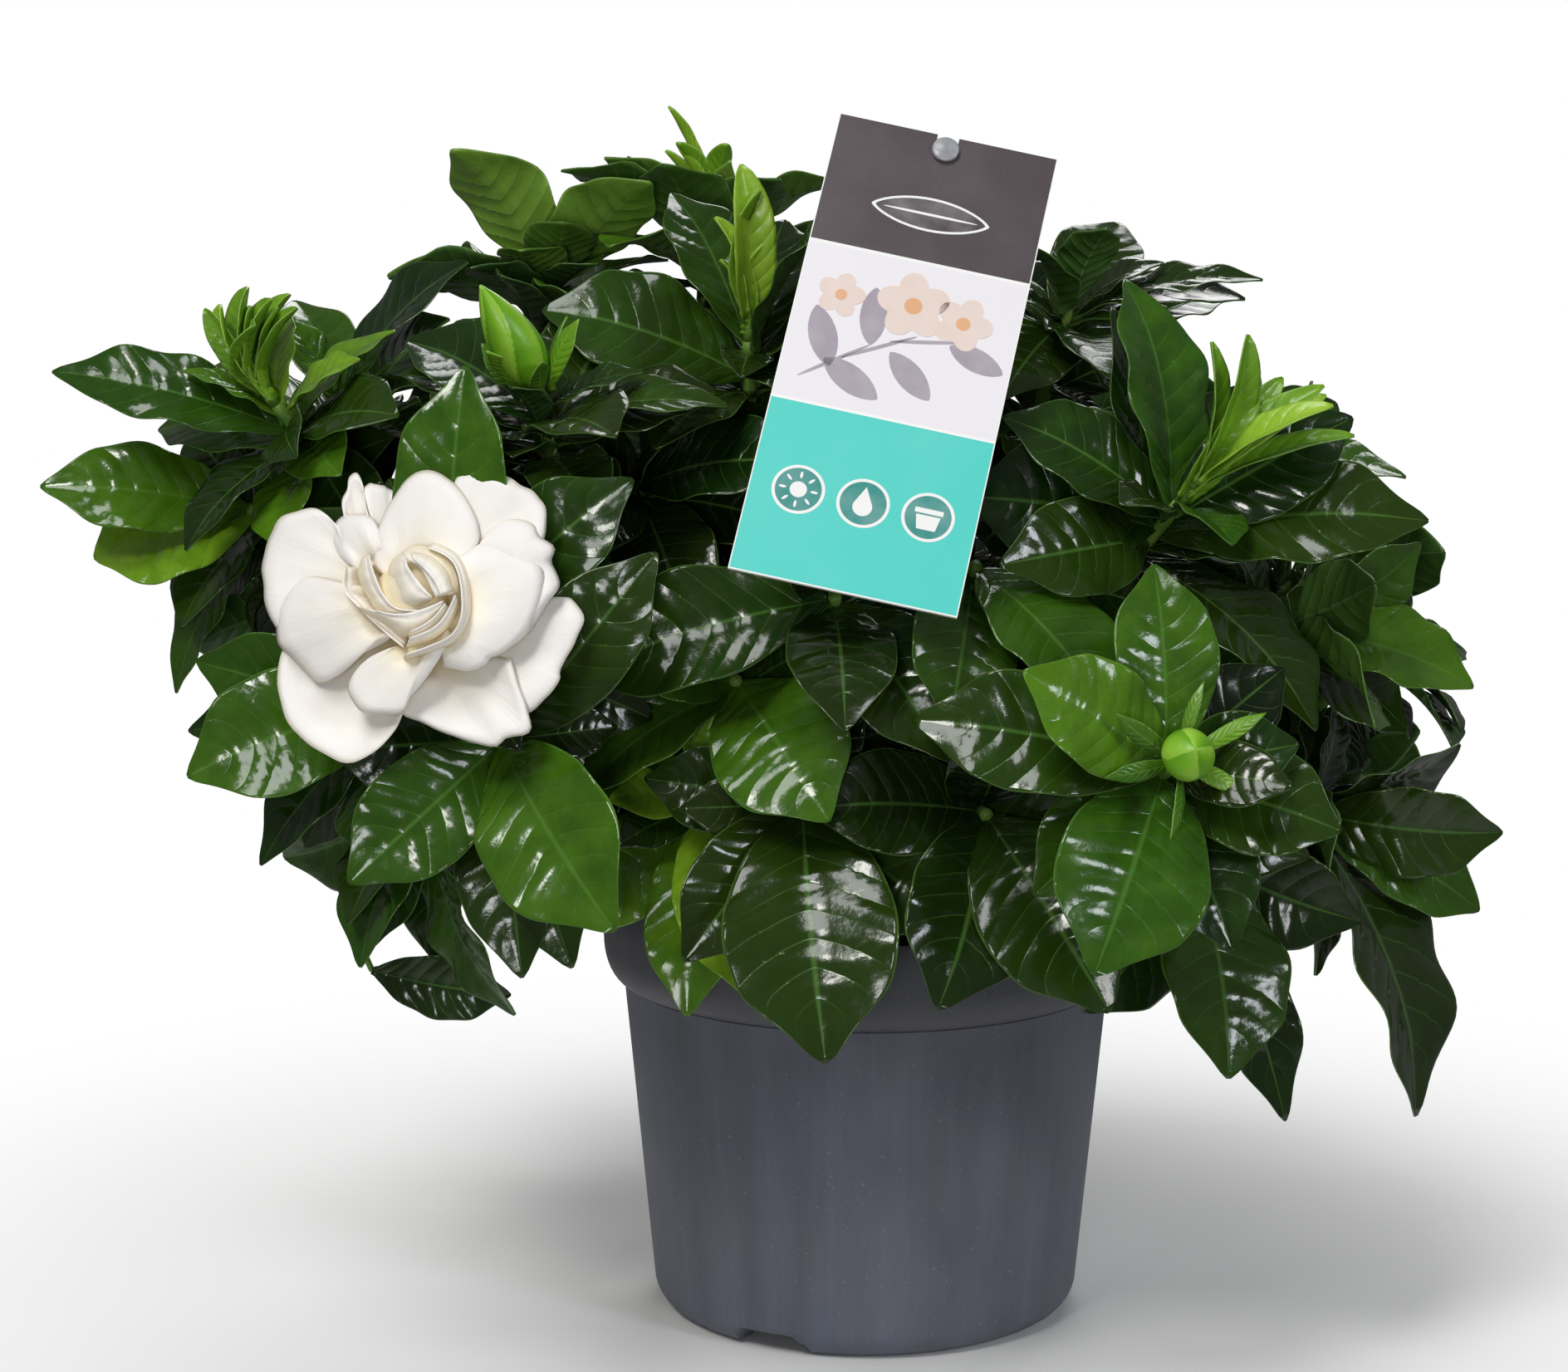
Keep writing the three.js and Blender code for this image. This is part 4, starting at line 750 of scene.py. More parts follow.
def freshnessAndShadeOf(name, i, rng):
    base = freshnessAndShade["shoots"].get(name, freshnessAndShade["usual"])
    if (name, i) in freshnessAndShade["leaves"]:
        return freshnessAndShade["leaves"][name, i]
    drawn = base + freshnessAndShade["newestBonus"] * math.exp(-i / freshnessAndShade["bonusEnds"])
    drawn = drawn - freshnessAndShade["lossPerLeaf"] * i
    return min(1, max(0, drawn + freshnessAndShade["spreadOfDraws"] * (rng.random() - 0.5)))


obstacles = {name: shapeOf(name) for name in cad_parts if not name.startswith("shoot_")}
shootLeaves = {name: [] for name in shoots}


def keepLeaf(name, key, blade, fresh=None):
    shootLeaves[name].append((key, blade))
    obstacles[name, key] = coarseLeaf(blade)[1]
    if fresh is not None:
        freshnessAndShade["leaves"][name, key] = fresh


missing = 0
for order, (name, shoot) in enumerate(shoots.items()):
    tree = treeOf("shoot_" + name)
    for i, record in enumerate(leafRecords(shoot, seededDraws(1000 + 77 * order))):
        blade = matchLeaf(tree, leafRoot(shoot, i, record), record, shootAxis(shoot))
        if blade is None:
            missing += 1
        else:
            keepLeaf(name, i, blade)
print("leaves found in the solids:", sum(len(v) for v in shootLeaves.values()), "not found:", missing)

# Woody stems: a trunk, then one twig to each shoot
wood = {
    "places": {"left": (-24, -18), "right": (28, -14), "backLeft": (-22, 22), "backRight": (26, 24)},
    "nodes": {
        "left": "wood_left", "right": "wood_right", "backLeft": "wood_back_left",
        "backRight": "wood_back_right",
    },
    "soilTop": 102, "depth": 24, "rise": 16, "trunkRadius": 3.6, "trunkTaper": (0.97, 0.8),
    "twigRadius": 2.1, "steps": 22,
}

# Leaves that only the dressed plant has, between the others, on each shoot's stem and on its twig
fillLeaves = {
    "perShoot": 9, "shortest": 30, "longest": 52, "broad": 0.52, "clearance": 0.9, "tries": 14,
    "perTwig": 10, "twigShare": (0.32, 0.95), "spread": (35, 110), "roll": 20, "rootOffset": 1.2,
    "shrinkPerTry": 0.035, "keptFromEnds": 3,
}
# The leaves that aren't in the solids are numbered from these on
firstNumbers = {"stem": 20, "twig": 40, "chosen": 80, "reaching": 100}
lowest, highest = [np.array([value / metres for value in corner]) for corner in cadBox]


def fits(blade, clearance=0.2):
    # Whether the leaf stays in the model's box and hits nothing that stands
    points, shape = coarseLeaf(blade, clearance, firstRow=1)
    if (points < lowest).any() or (points > highest).any():
        return False
    return not any(shape.overlap(other) for other in obstacles.values())


def bezier(a, b, c, d, t):
    t = np.asarray(t, float).reshape(-1, 1)
    return a * (1 - t) ** 3 + 3 * b * t * (1 - t) ** 2 + 3 * c * t ** 2 * (1 - t) + d * t ** 3


def twigRoute(shoot, share):
    # Points along the woody twig that runs from a trunk to the shoot
    x, y = wood["places"][shoot["trunk"]]
    axis = shootAxis(shoot)
    end = shootRoot(shoot) - axis * gap
    reach = np.linalg.norm(end - np.array([x, y, wood["soilTop"] + wood["rise"]]))
    start = np.array([x, y, wood["soilTop"] + wood["rise"] * 0.5])
    return bezier(start, start + np.array([0, 0, 0.4 * reach]), end - axis * 0.3 * reach, end, share), reach


def tryLeaf(name, key, root, axis, rng):
    # Adds a leaf at root where one of a few draws is clear of everything that stands
    for attempt in range(fillLeaves["tries"]):
        length = rng.uniform(fillLeaves["shortest"], fillLeaves["longest"])
        length = length * (1 - fillLeaves["shrinkPerTry"] * attempt)
        turn = rng.uniform(0, 2 * math.pi)
        angles = leaning(axis, turn, rng.uniform(*fillLeaves["spread"]))
        record = [*angles, length, length * fillLeaves["broad"]]
        record.append(rng.uniform(-fillLeaves["roll"], fillLeaves["roll"]))
        blade = leafFrame(root + outward(axis, turn) * fillLeaves["rootOffset"], record, axis)
        if fits(blade, fillLeaves["clearance"]):
            keepLeaf(name, key, blade)
            return True
    return False


# Leaves that close views into the plant: how far down the shoot, [bearing, pitch, length, width, roll]
# and its value of freshness and shade. Each is tried with small changes until it hits nothing.
chosenLeaves = {
    "bloomRosette": [
        (12, [-95, 62, 46, 28, 0], 0.3), (10, [-60, 42, 50, 28, 0], 0.3), (14, [150, 60, 50, 26, 0], 0.2)
    ],
    "farLeft": [
        (10, [60, 10, 40, 24, 0], 0.35), (14, [20, -30, 44, 24, 0], 0.3), (12, [100, 20, 40, 22, 0], 0.3)
    ],
    "lowerLeft": [
        (6, [80, 30, 46, 26, 0], 0.3), (10, [40, -10, 46, 26, 0], 0.2), (8, [-40, -40, 40, 24, 0], 0.3)
    ],
    "behindLabel": [(8, [60, 10, 50, 26, 0], 0.2), (10, [0, -10, 50, 26, 0], 0.2)],
    "topRight": [(12, [-140, 50, 46, 24, 0], 0.2), (16, [120, 40, 50, 26, 0], 0.2)],
    "rightLow": [(8, [40, -30, 50, 26, 0], 0.2), (12, [10, 0, 46, 24, 0], 0.2)],
    "right": [(8, [70, 40, 50, 26, 0], 0.3), (12, [100, 10, 46, 24, 0], 0.2)],
    "crownLeft": [
        (4, [40, 50, 44, 28, 0], 0.75), (8, [80, 40, 44, 26, 0], 0.6), (2, [20, 70, 40, 24, 0], 0.85)
    ],
    "crown": [
        (6, [-60, 40, 50, 26, 0], 0.55), (6, [-90, 20, 50, 28, 0], 0.5), (4, [-30, 60, 40, 22, 0], 0.6),
        (9, [-70, 55, 42, 24, 20], 0.7), (12, [-40, 30, 46, 26, 0], 0.6), (10, [30, 50, 40, 24, 0], 0.5),
    ],
    "topLeft": [
        (4, [-20, 60, 40, 22, 0], 0.4), (8, [60, 40, 46, 26, 0], 0.4), (10, [-60, 20, 46, 26, 0], 0.5)
    ],
    "midLeft": [(6, [0, 40, 44, 26, 0], 0.3), (8, [-60, 50, 44, 26, 0], 0.3)],
    "leftLow": [(6, [-60, 40, 46, 26, 0], 0.4), (10, [-90, 30, 46, 26, 0], 0.3)],
    "topCentre": [(6, [-60, 60, 46, 24, 0], 0.3), (8, [-100, 50, 46, 26, 0], 0.4)],
    "hangLeft": [(6, [40, -30, 50, 25, 0], 0.1), (10, [-60, -50, 48, 25, 0], 0.2)],
}
chosenChanges = [
    (1 - 0.1 * a, tilt, turn) for a in range(4) for tilt in (0, 12, -12) for turn in (0, 12, -12, 24, -24)
]


def fitChosen(name, key, down, record, fresh):
    shoot = shoots[name]
    bearing, pitch, length, width, roll = record
    for shrink, tilt, turn in chosenChanges:
        changed = [bearing + turn, pitch + tilt, length * shrink, width * shrink, roll]
        blade = leafFrame(stemPoint(shoot, down), changed, shootAxis(shoot))
        if fits(blade):
            keepLeaf(name, key, blade, fresh)
            return True
    return False


taken = [
    fitChosen(name, firstNumbers["chosen"] + k, *row)
    for name, rows in chosenLeaves.items() for k, row in enumerate(rows)
]
print("chosen leaves that fit:", sum(taken), "of", len(taken))

rng = random.Random(23)
added = 0
for name, shoot in shoots.items():
    axis, ends, count = shootAxis(shoot), fillLeaves["keptFromEnds"], fillLeaves["perShoot"]
    for k in range(count):
        down = ends + (shoot["stem"] - 2 * ends) * (k + 0.5) / count
        added += tryLeaf(name, firstNumbers["stem"] + k, stemPoint(shoot, down), axis, rng)
    shares = np.linspace(*fillLeaves["twigShare"], fillLeaves["perTwig"])
    ahead = twigRoute(shoot, shares + 0.02)[0]
    for k, (point, further) in enumerate(zip(twigRoute(shoot, shares)[0], ahead)):
        added += tryLeaf(name, firstNumbers["twig"] + k, point, unit(further - point), rng)
print("leaves added between them:", added)

# Open places in the crown where the sky would show: a leaf of a nearby stem reaches over each
reaching = {
    "places": [(-62, 40, 283), (-78, 8, 284), (-112, 20, 281), (-98, -4, 283), (-52, -20, 286)],
    "near": 12, "far": 46, "width": 27, "shortest": 32, "longest": 60, "past": 1.75, "freshnessAndShade": 0.42,
}


def reachOver(place, key):
    stems = [
        (np.linalg.norm(place - stemPoint(shoot, down)), name, down)
        for name, shoot in shoots.items() for down in np.arange(3, shoot["stem"] - 3, 4)
    ]
    for apart, name, down in sorted(stems, key=lambda stem: stem[0]):
        if not reaching["near"] < apart < reaching["far"]:
            continue
        root = stemPoint(shoots[name], down)
        bearing, pitch = anglesOf(unit(place - root))
        for size in (1, 0.85, 0.7):
            length = size * min(max(reaching["past"] * apart, reaching["shortest"]), reaching["longest"])
            width = size * reaching["width"]
            tries = [
                leafFrame(root, [bearing + turn, pitch + tilt, length, width, roll], shootAxis(shoots[name]))
                for roll in range(-90, 91, 30) for turn in (0, 8, -8) for tilt in (0, 8, -8)
            ]
            for blade in sorted(tries, key=lambda blade: blade["face"][1] - 0.3 * blade["face"][2]):
                # no leaf shows its underside to the sky
                if blade["face"][2] >= -0.2 and fits(blade):
                    keepLeaf(name, key, blade, reaching["freshnessAndShade"])
                    return True
    return False


reached = [
    reachOver(np.array(place, float), firstNumbers["reaching"] + k)
    for k, place in enumerate(reaching["places"])
]
print("gaps that a leaf reaches over:", sum(reached), "of", len(reached))

# Leaves that the photographed plant has broader or narrower than their solids
leafBreadth = {
    ("rightLow", 2): 1.45, ("rightLow", 1): 1.15, ("frontRight", 0): 1.2, ("frontRight", 1): 1.15,
    ("lowerLeft", 0): 0.82, ("lowerLeft", 1): 1.5, ("farLeft", 4): 0.72,
}
# One leaf dangles low on a bent twig of its own
dangling = {
    "shoot": "hangLeft", "freshnessAndShade": 0.2, "leaf": [86, -9, 37, 17, -30],
    "twig": [(-115, -60, 149), (-125, -62, 140), (-131, -63, 127), (-131, -62, 114), (-128, -60, 106)],
}
for order, (name, shoot) in enumerate(shoots.items()):
    rng = random.Random(500 + order)
    sink = newSink()
    root, tip = shootRoot(shoot), stemPoint(shoot, 0)
    share = np.linspace(0, 1, 14)
    swell = 1 + 0.12 * np.abs(np.sin(share * 9)) ** 6
    radii = (stemFootRadius + (stemRadius - stemFootRadius) * share) * swell
    pourTube(sink, root + (tip - root) * share[:, None], radii, slot=2)
    if name == dangling["shoot"]:
        pourTube(sink, dangling["twig"], np.linspace(1.3, 0.8, len(dangling["twig"])), slot=2)
        blade = leafFrame(np.array(dangling["twig"][-1], float), dangling["leaf"], shootAxis(shoot))
        pourLeaf(sink, blade, (dangling["freshnessAndShade"], 0.5), rng, leaf["frontGrid"])
    for i, blade in shootLeaves[name]:
        blade["half"] *= leafBreadth.get((name, i), 1)
        extra = i >= firstNumbers["stem"]
        grid = "innerGrid" if extra else "backGrid" if name.startswith("back") else "frontGrid"
        age = (freshnessAndShadeOf(name, i, rng) * (freshnessAndShade["addedLeaves"] if extra else 1), rng.random())
        pourLeaf(sink, blade, age, rng, leaf[grid])
    makePiece("shoot_leaves_" + name, sink, [leafUpper, leafUnder, greenStem], ["shoot_" + name])
print("shoots made")

# Flushes of narrow young leaves at five of the tips. more: leaves that only the dressed plant has
flush = {
    "firstLeaf": 1.2, "spacing": 1.6, "grid": (20, 7),
    "blade": {"quilt": 0.15, "wave": 0.3, "fold": 0.6, "strap": 0.75},
    "more": {
        "topCentre": [[-12, 80, 40, 12], [20, 74, 33, 10], [-70, 70, 26, 9]],
        "farLeft": [
            [-25, 82, 25, 14], [40, 70, 23, 13], [-60, 64, 22, 11], [120, 66, 24, 13], [10, 48, 20, 11]
        ],
        "crown": [[40, 66, 20, 8], [-60, 60, 20, 8], [-55, 64, 30, 4]],
        "topRight": [[50, 68, 40, 10], [66, 30, 40, 9], [90, 34, 38, 8]],
    },
}
for name, shoot in shoots.items():
    if "young" not in shoot:
        continue
    rng = random.Random(len(name))
    sink = newSink()
    axis, base = shootAxis(shoot), stemPoint(shoot, -gap)
    pourTube(sink, [base + axis * h for h in (0, 2.5, 5, 7)], [1.7, 1.4, 1.1, 0.8], slot=1)
    for i, record in enumerate(shoot["young"] + flush["more"].get(name, [])):
        up = flush["firstLeaf"] + flush["spacing"] * min(i, 3 + 0.2 * i)
        blade = {**leafFrame(base + axis * up, [*record, 0], axis), **flush["blade"]}
        age = (rng.uniform(0.62, 1.0), rng.random())
        pourLeaf(sink, blade, age, rng, flush["grid"], (0, 0))
    makePiece("young_leaves_" + name, sink, [youngLeaf, greenStem], ["flush_" + name])
print("flushes made")

for trunkName, (x, y) in wood["places"].items():
    sink = newSink()
    rng = random.Random(int(abs(x)) + 3)
    heights = np.linspace(wood["soilTop"] - wood["depth"] + gap, wood["soilTop"] + wood["rise"], 12)
    centres = np.array([[x + 0.25 * math.sin(z / 5), y + 0.25 * math.cos(z / 6), z] for z in heights])
    radii = np.linspace(*[wood["trunkRadius"] * share for share in wood["trunkTaper"]], 12)
    pourTube(sink, centres, radii * (1 + 0.05 * np.sin(heights * 1.3)), 14)
    for shoot in shoots.values():
        if shoot["trunk"] != trunkName:
            continue
        share = np.linspace(0, 1, wood["steps"])
        route, reach = twigRoute(shoot, share)
        radii = wood["twigRadius"] + (stemFootRadius - wood["twigRadius"]) * share
        knots = 1 + 0.14 * np.abs(np.sin(share * reach / 9 + rng.random())) ** 8 + 0.05 * np.sin(share * 31)
        pourTube(sink, route, radii * knots, 10)
    makePiece("branches_" + trunkName, sink, [gardeniaBark], [wood["nodes"][trunkName]])
print("wood made")

# Pot: turned wall on a raised floor, with notches under the foot and drain holes
pot = {
    "height": 116, "footRadius": 58.5, "cornerRadius": 8, "neckRadius": 66.5, "neckHeight": 92,
    "rimRadius": 72, "collarHeight": 103, "wall": 1.2, "floorHeight": 6, "padRadius": 12,
    "notches": (-27, 93, 213), "notchAngle": 22, "drainHoles": 6, "drainRadius": 4, "drainRing": 36,
    "sides": 144, "drainSides": 28, "sharpFrom": 35,
    "wallColours": [(0.35, "#484b55"), (0.55, "#515562"), (0.75, "#5a5f6e")],
    # painted shade: the collar from this height up is a darker grey, for the leaves' shade on it
    "collarPaintedShade": "#46474e", "collarPaintedShadeFrom": 92.5, "dustColour": "#8d8a83",
}


def potMaterial():
    # Blown polypropylene with a satin skin: dark blue-grey, faint upright flow streaks, dust in specks, and a
    # painted shade that darkens the collar under the leaves.
    # The grain of its skin is drawn coarser than it is, so that it shows.
    material, add, shader = newMaterial("mouldedPolypropylene", IOR=1.49, Roughness=0.5)
    where = add("TexCoord", pick="Object")
    height = add("SeparateXYZ", [where], pick="Z")
    drawn = [add("Mapping", {"Vector": where, "Scale": (1, 1, upright)}) for upright in (0.06, 0.03)]
    streaks = add("TexNoise", {"Vector": drawn[0], "Scale": 1 / (14 * metres), "Detail": 4})
    fineStreaks = add("TexNoise", {"Vector": drawn[1], "Scale": 1 / (1.8 * metres), "Detail": 2})
    blend = add("Math MULTIPLY_ADD", [fineStreaks, 0.22, add("Math MULTIPLY", [streaks, 0.88])])
    wall = add("ValToRGB", [blend], stops=pot["wallColours"])
    # painted shade: the collar, under the leaves, is tinted a darker grey than the wall
    raised = add("Math DIVIDE", [height, pot["collarPaintedShadeFrom"] * metres])
    collar = add("ValToRGB", [raised], stops=[(0.985, 0.0), (1.0, 1.0)])
    body = add("Mix", {0: collar, 6: wall, 7: pot["collarPaintedShade"]}, **asColour)
    specks = add("TexNoise", {"Vector": where, "Scale": 1 / (1.1 * metres), "Detail": 2})
    dust = add("ValToRGB", [specks], stops=[(0.68, 0.0), (0.74, 0.45)])
    clouds = add("TexNoise", {"Vector": where, "Scale": 1 / (24 * metres), "Detail": 4})
    film = add("ValToRGB", [clouds], stops=[(0.4, 0.0), (0.75, 0.1)])
    dusty = add("Math MAXIMUM", [dust, film])
    gloss = add("Math MULTIPLY_ADD", [streaks, 0.25, 0.36])
    grain = add("TexNoise", {"Vector": where, "Scale": 1 / (0.7 * metres), "Detail": 2})
    relief = add("Math MULTIPLY_ADD", [grain, 0.25, fineStreaks])
    wire(
        shader,
        Base_Color=add("Mix", {0: dusty, 6: body, 7: pot["dustColour"]}, **asColour),
        Roughness=add("Math ADD", [gloss, add("Math MULTIPLY", [film, 1.2])]),
        Normal=add("Bump", {"Height": relief, "Strength": 0.12, "Distance": 0.5 * metres}),
    )
    return material


def arcPoints(centre, radius, start, end, steps):
    turns = np.radians(np.linspace(start, end, steps + 1))
    return [(centre[0] + radius * math.cos(a), centre[1] + radius * math.sin(a)) for a in turns]


def wallRadius(z):
    share = (z - pot["cornerRadius"]) / (pot["neckHeight"] - pot["cornerRadius"])
    return pot["footRadius"] + (pot["neckRadius"] - pot["footRadius"]) * share


def potProfile():
    # Radius and height of each ring: from the pad under the floor outwards, up the wall, over the rim and
    # down to the floor's top
    foot, corner, neck, rim, pad = [pot[key + "Radius"] for key in ("foot", "corner", "neck", "rim", "pad")]
    top, low, neckHeight, collar = [
        pot[key] for key in ("height", "floorHeight", "neckHeight", "collarHeight")
    ]
    floorTop, inside = low + pot["wall"], rim - pot["wall"]
    profile = [(pad, 0), (pad + 0.3, 0.2), (pad + 1, low), (foot - corner - 2, low), (foot - corner - 1, 0)]
    profile += arcPoints((foot - corner, corner), corner, -90, 0, 9)
    profile += [(wallRadius(z), z) for z in np.linspace(corner, neckHeight - 0.9, 14)][1:]
    profile += [(neck, neckHeight - 0.5), (neck - 0.25, neckHeight - 0.1), (neck + 0.5, neckHeight + 0.1)]
    profile += [
        (neck + (rim - neck) * c, collar + (collar - neckHeight) * s)
        for c, s in arcPoints((0, 0), 1, -75, 0, 9)
    ]
    profile += [(rim + 0.3, top - 8), (rim + 0.4, top - 0.8), (rim + 0.1, top - 0.15), (rim - 0.4, top)]
    profile += [(inside + 0.2, top - 0.2), (inside, top - 1), (inside, collar)]
    return profile + [
        (neck - pot["wall"], neckHeight + pot["wall"]), (wallRadius(floorTop) - pot["wall"], floorTop)
    ]


def notchRise(angle):
    # How far the foot is cut away at an angle round the pot, in degrees
    best = 0
    for centre in pot["notches"]:
        apart = abs((angle - centre + 180) % 360 - 180)
        half = pot["notchAngle"] / 2
        best = max(best, pot["floorHeight"] * float(smoothStep(half + 0.4, half - 2.6, apart)))
    return best


def makePot():
    profile, sides = potProfile(), pot["sides"]
    points = []
    for radius, z in profile:
        underFoot = pot["padRadius"] + 2 < radius < pot["footRadius"] and z < pot["floorHeight"]
        for j in range(sides):
            angle = 360 * j / sides  # as the notches count: from the front, -Y, round towards +X
            turn = math.radians(angle - 90)
            lifted = max(z, notchRise(angle)) if underFoot else z
            points.append((radius * math.cos(turn), radius * math.sin(turn), lifted))
    faces = gridRound(len(profile), sides)
    bottom, last = len(points), (len(profile) - 1) * sides
    points += [(0, 0, 0), (0, 0, pot["floorHeight"] + pot["wall"])]
    for j in range(sides):
        k = (j + 1) % sides
        faces += [(bottom, k, j), (bottom + 1, last + j, last + k)]
    sink = newSink()
    pour(sink, points, faces)
    return makePiece("pot_shell", sink, [potMaterial()], ["pot"])


def cutHoles(piece):
    cutters = []
    reach, radius, middle = [pot[key] * metres for key in ("drainRing", "drainRadius", "floorHeight")]
    for i in range(pot["drainHoles"]):
        turn = math.radians(360 / pot["drainHoles"] * i + 30)
        bpy.ops.mesh.primitive_cylinder_add(
            vertices=pot["drainSides"], radius=radius, depth=2 * middle,
            location=(reach * math.cos(turn), reach * math.sin(turn), middle),
        )
        cutters.append(bpy.context.object)
    for cutter in cutters:
        hole = piece.modifiers.new("drainHole", "BOOLEAN")
        hole.object = cutter
        hole.solver = "EXACT"
    bpy.context.view_layer.update()
    shown = piece.evaluated_get(bpy.context.evaluated_depsgraph_get())
    mesh = bpy.data.meshes.new_from_object(
        shown, preserve_all_data_layers=True, depsgraph=bpy.context.evaluated_depsgraph_get()
    )
    piece.modifiers.clear()
    piece.data = mesh
    for cutter in cutters:
        bpy.data.objects.remove(cutter)


potShell = makePot()
cutHoles(potShell)
potShell.data.set_sharp_from_angle(angle=math.radians(pot["sharpFrom"]))
print("pot made")

soil = {
    "radius": 66.2, "top": 102, "rings": 46, "sides": 120, "depth": 1.5, "chips": 620,
    "chipSize": (1.6, 5.5), "chipBreadth": (0.35, 0.8), "chipDepth": (0.2, 0.5), "chipTilt": 0.5,
    "clearOfTrunk": 6, "edgeRise": 1.6, "edgeFrom": 60, "edgeTo": 66,
}


def soilHeight(x, y):
    low = 1.3 * np.sin(x / 7) * np.cos(y / 9) + 0.7 * np.sin((x + y) / 5)
    fine = 0.45 * np.sin(x * 1.9 + np.sin(y * 1.3) * 2) * np.cos(y * 2.1 + np.sin(x * 0.9) * 2)
    return soil["top"] + 0.7 + low + fine


def makeSoil():
    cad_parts["soil"].material_slots[0].material = pottingMix
    rings, sides = soil["rings"], soil["sides"]
    radii = np.linspace(0.5, soil["radius"], rings)
    turns = np.arange(sides) * 2 * math.pi / sides
    x, y = np.outer(radii, np.cos(turns)), np.outer(radii, np.sin(turns))
    # the soil stands a little higher where it meets the pot
    z = soilHeight(x, y) + soil["edgeRise"] * smoothStep(soil["edgeFrom"], soil["edgeTo"], radii)[:, None]
    upper = np.stack([x, y, z], -1).reshape(-1, 3)
    lower = upper - [0, 0, soil["depth"]]
    total, outer = rings * sides, (rings - 1) * sides
    faces = gridRound(rings, sides)
    faces += [tuple(total + k for k in face[::-1]) for face in faces]
    for j in range(sides):
        a, b = outer + j, outer + (j + 1) % sides
        faces.append((b, b + total, a + total, a))
    faces += [tuple(range(sides)), tuple(range(total + sides - 1, total - 1, -1))]
    sink = newSink()
    pour(sink, np.concatenate([upper, lower]), faces)
    makePiece("soil_surface", sink, [pottingMix])


def makeChips():
    rng = random.Random(7)
    sink = newSink()
    for _ in range(soil["chips"]):
        radius = (soil["radius"] - 3) * math.sqrt(rng.random())
        turn = rng.uniform(0, 2 * math.pi)
        cx, cy = radius * math.cos(turn), radius * math.sin(turn)
        if any(math.hypot(cx - x, cy - y) < soil["clearOfTrunk"] for x, y in wood["places"].values()):
            continue
        long = rng.uniform(*soil["chipSize"])
        broad, deep = long * rng.uniform(*soil["chipBreadth"]), long * rng.uniform(*soil["chipDepth"])
        size = np.array([long, broad, deep]) / 2
        spin = rng.uniform(0, math.pi)
        tiltX, tiltY = [rng.uniform(-soil["chipTilt"], soil["chipTilt"]) for _ in range(2)]
        corners = []
        for sz in (-1, 1):
            for sx, sy in [(-1, -1), (1, -1), (1, 1), (-1, 1)]:
                p = np.array([sx, sy, sz]) * size
                p *= [rng.uniform(0.6, 1.1) for _ in range(3)]
                p[2] += p[0] * tiltX + p[1] * tiltY
                corners.append((
                    cx + p[0] * math.cos(spin) - p[1] * math.sin(spin),
                    cy + p[0] * math.sin(spin) + p[1] * math.cos(spin),
                    float(soilHeight(cx, cy)) + p[2] + 0.06 * long,
                ))
        box = [(0, 3, 2, 1), (4, 5, 6, 7), (0, 1, 5, 4), (1, 2, 6, 5), (2, 3, 7, 6), (3, 0, 4, 7)]
        pour(sink, corners, box)
    makePiece("soil_chips", sink, [barkChips], smooth=False)


makeSoil()
makeChips()
print("soil made")

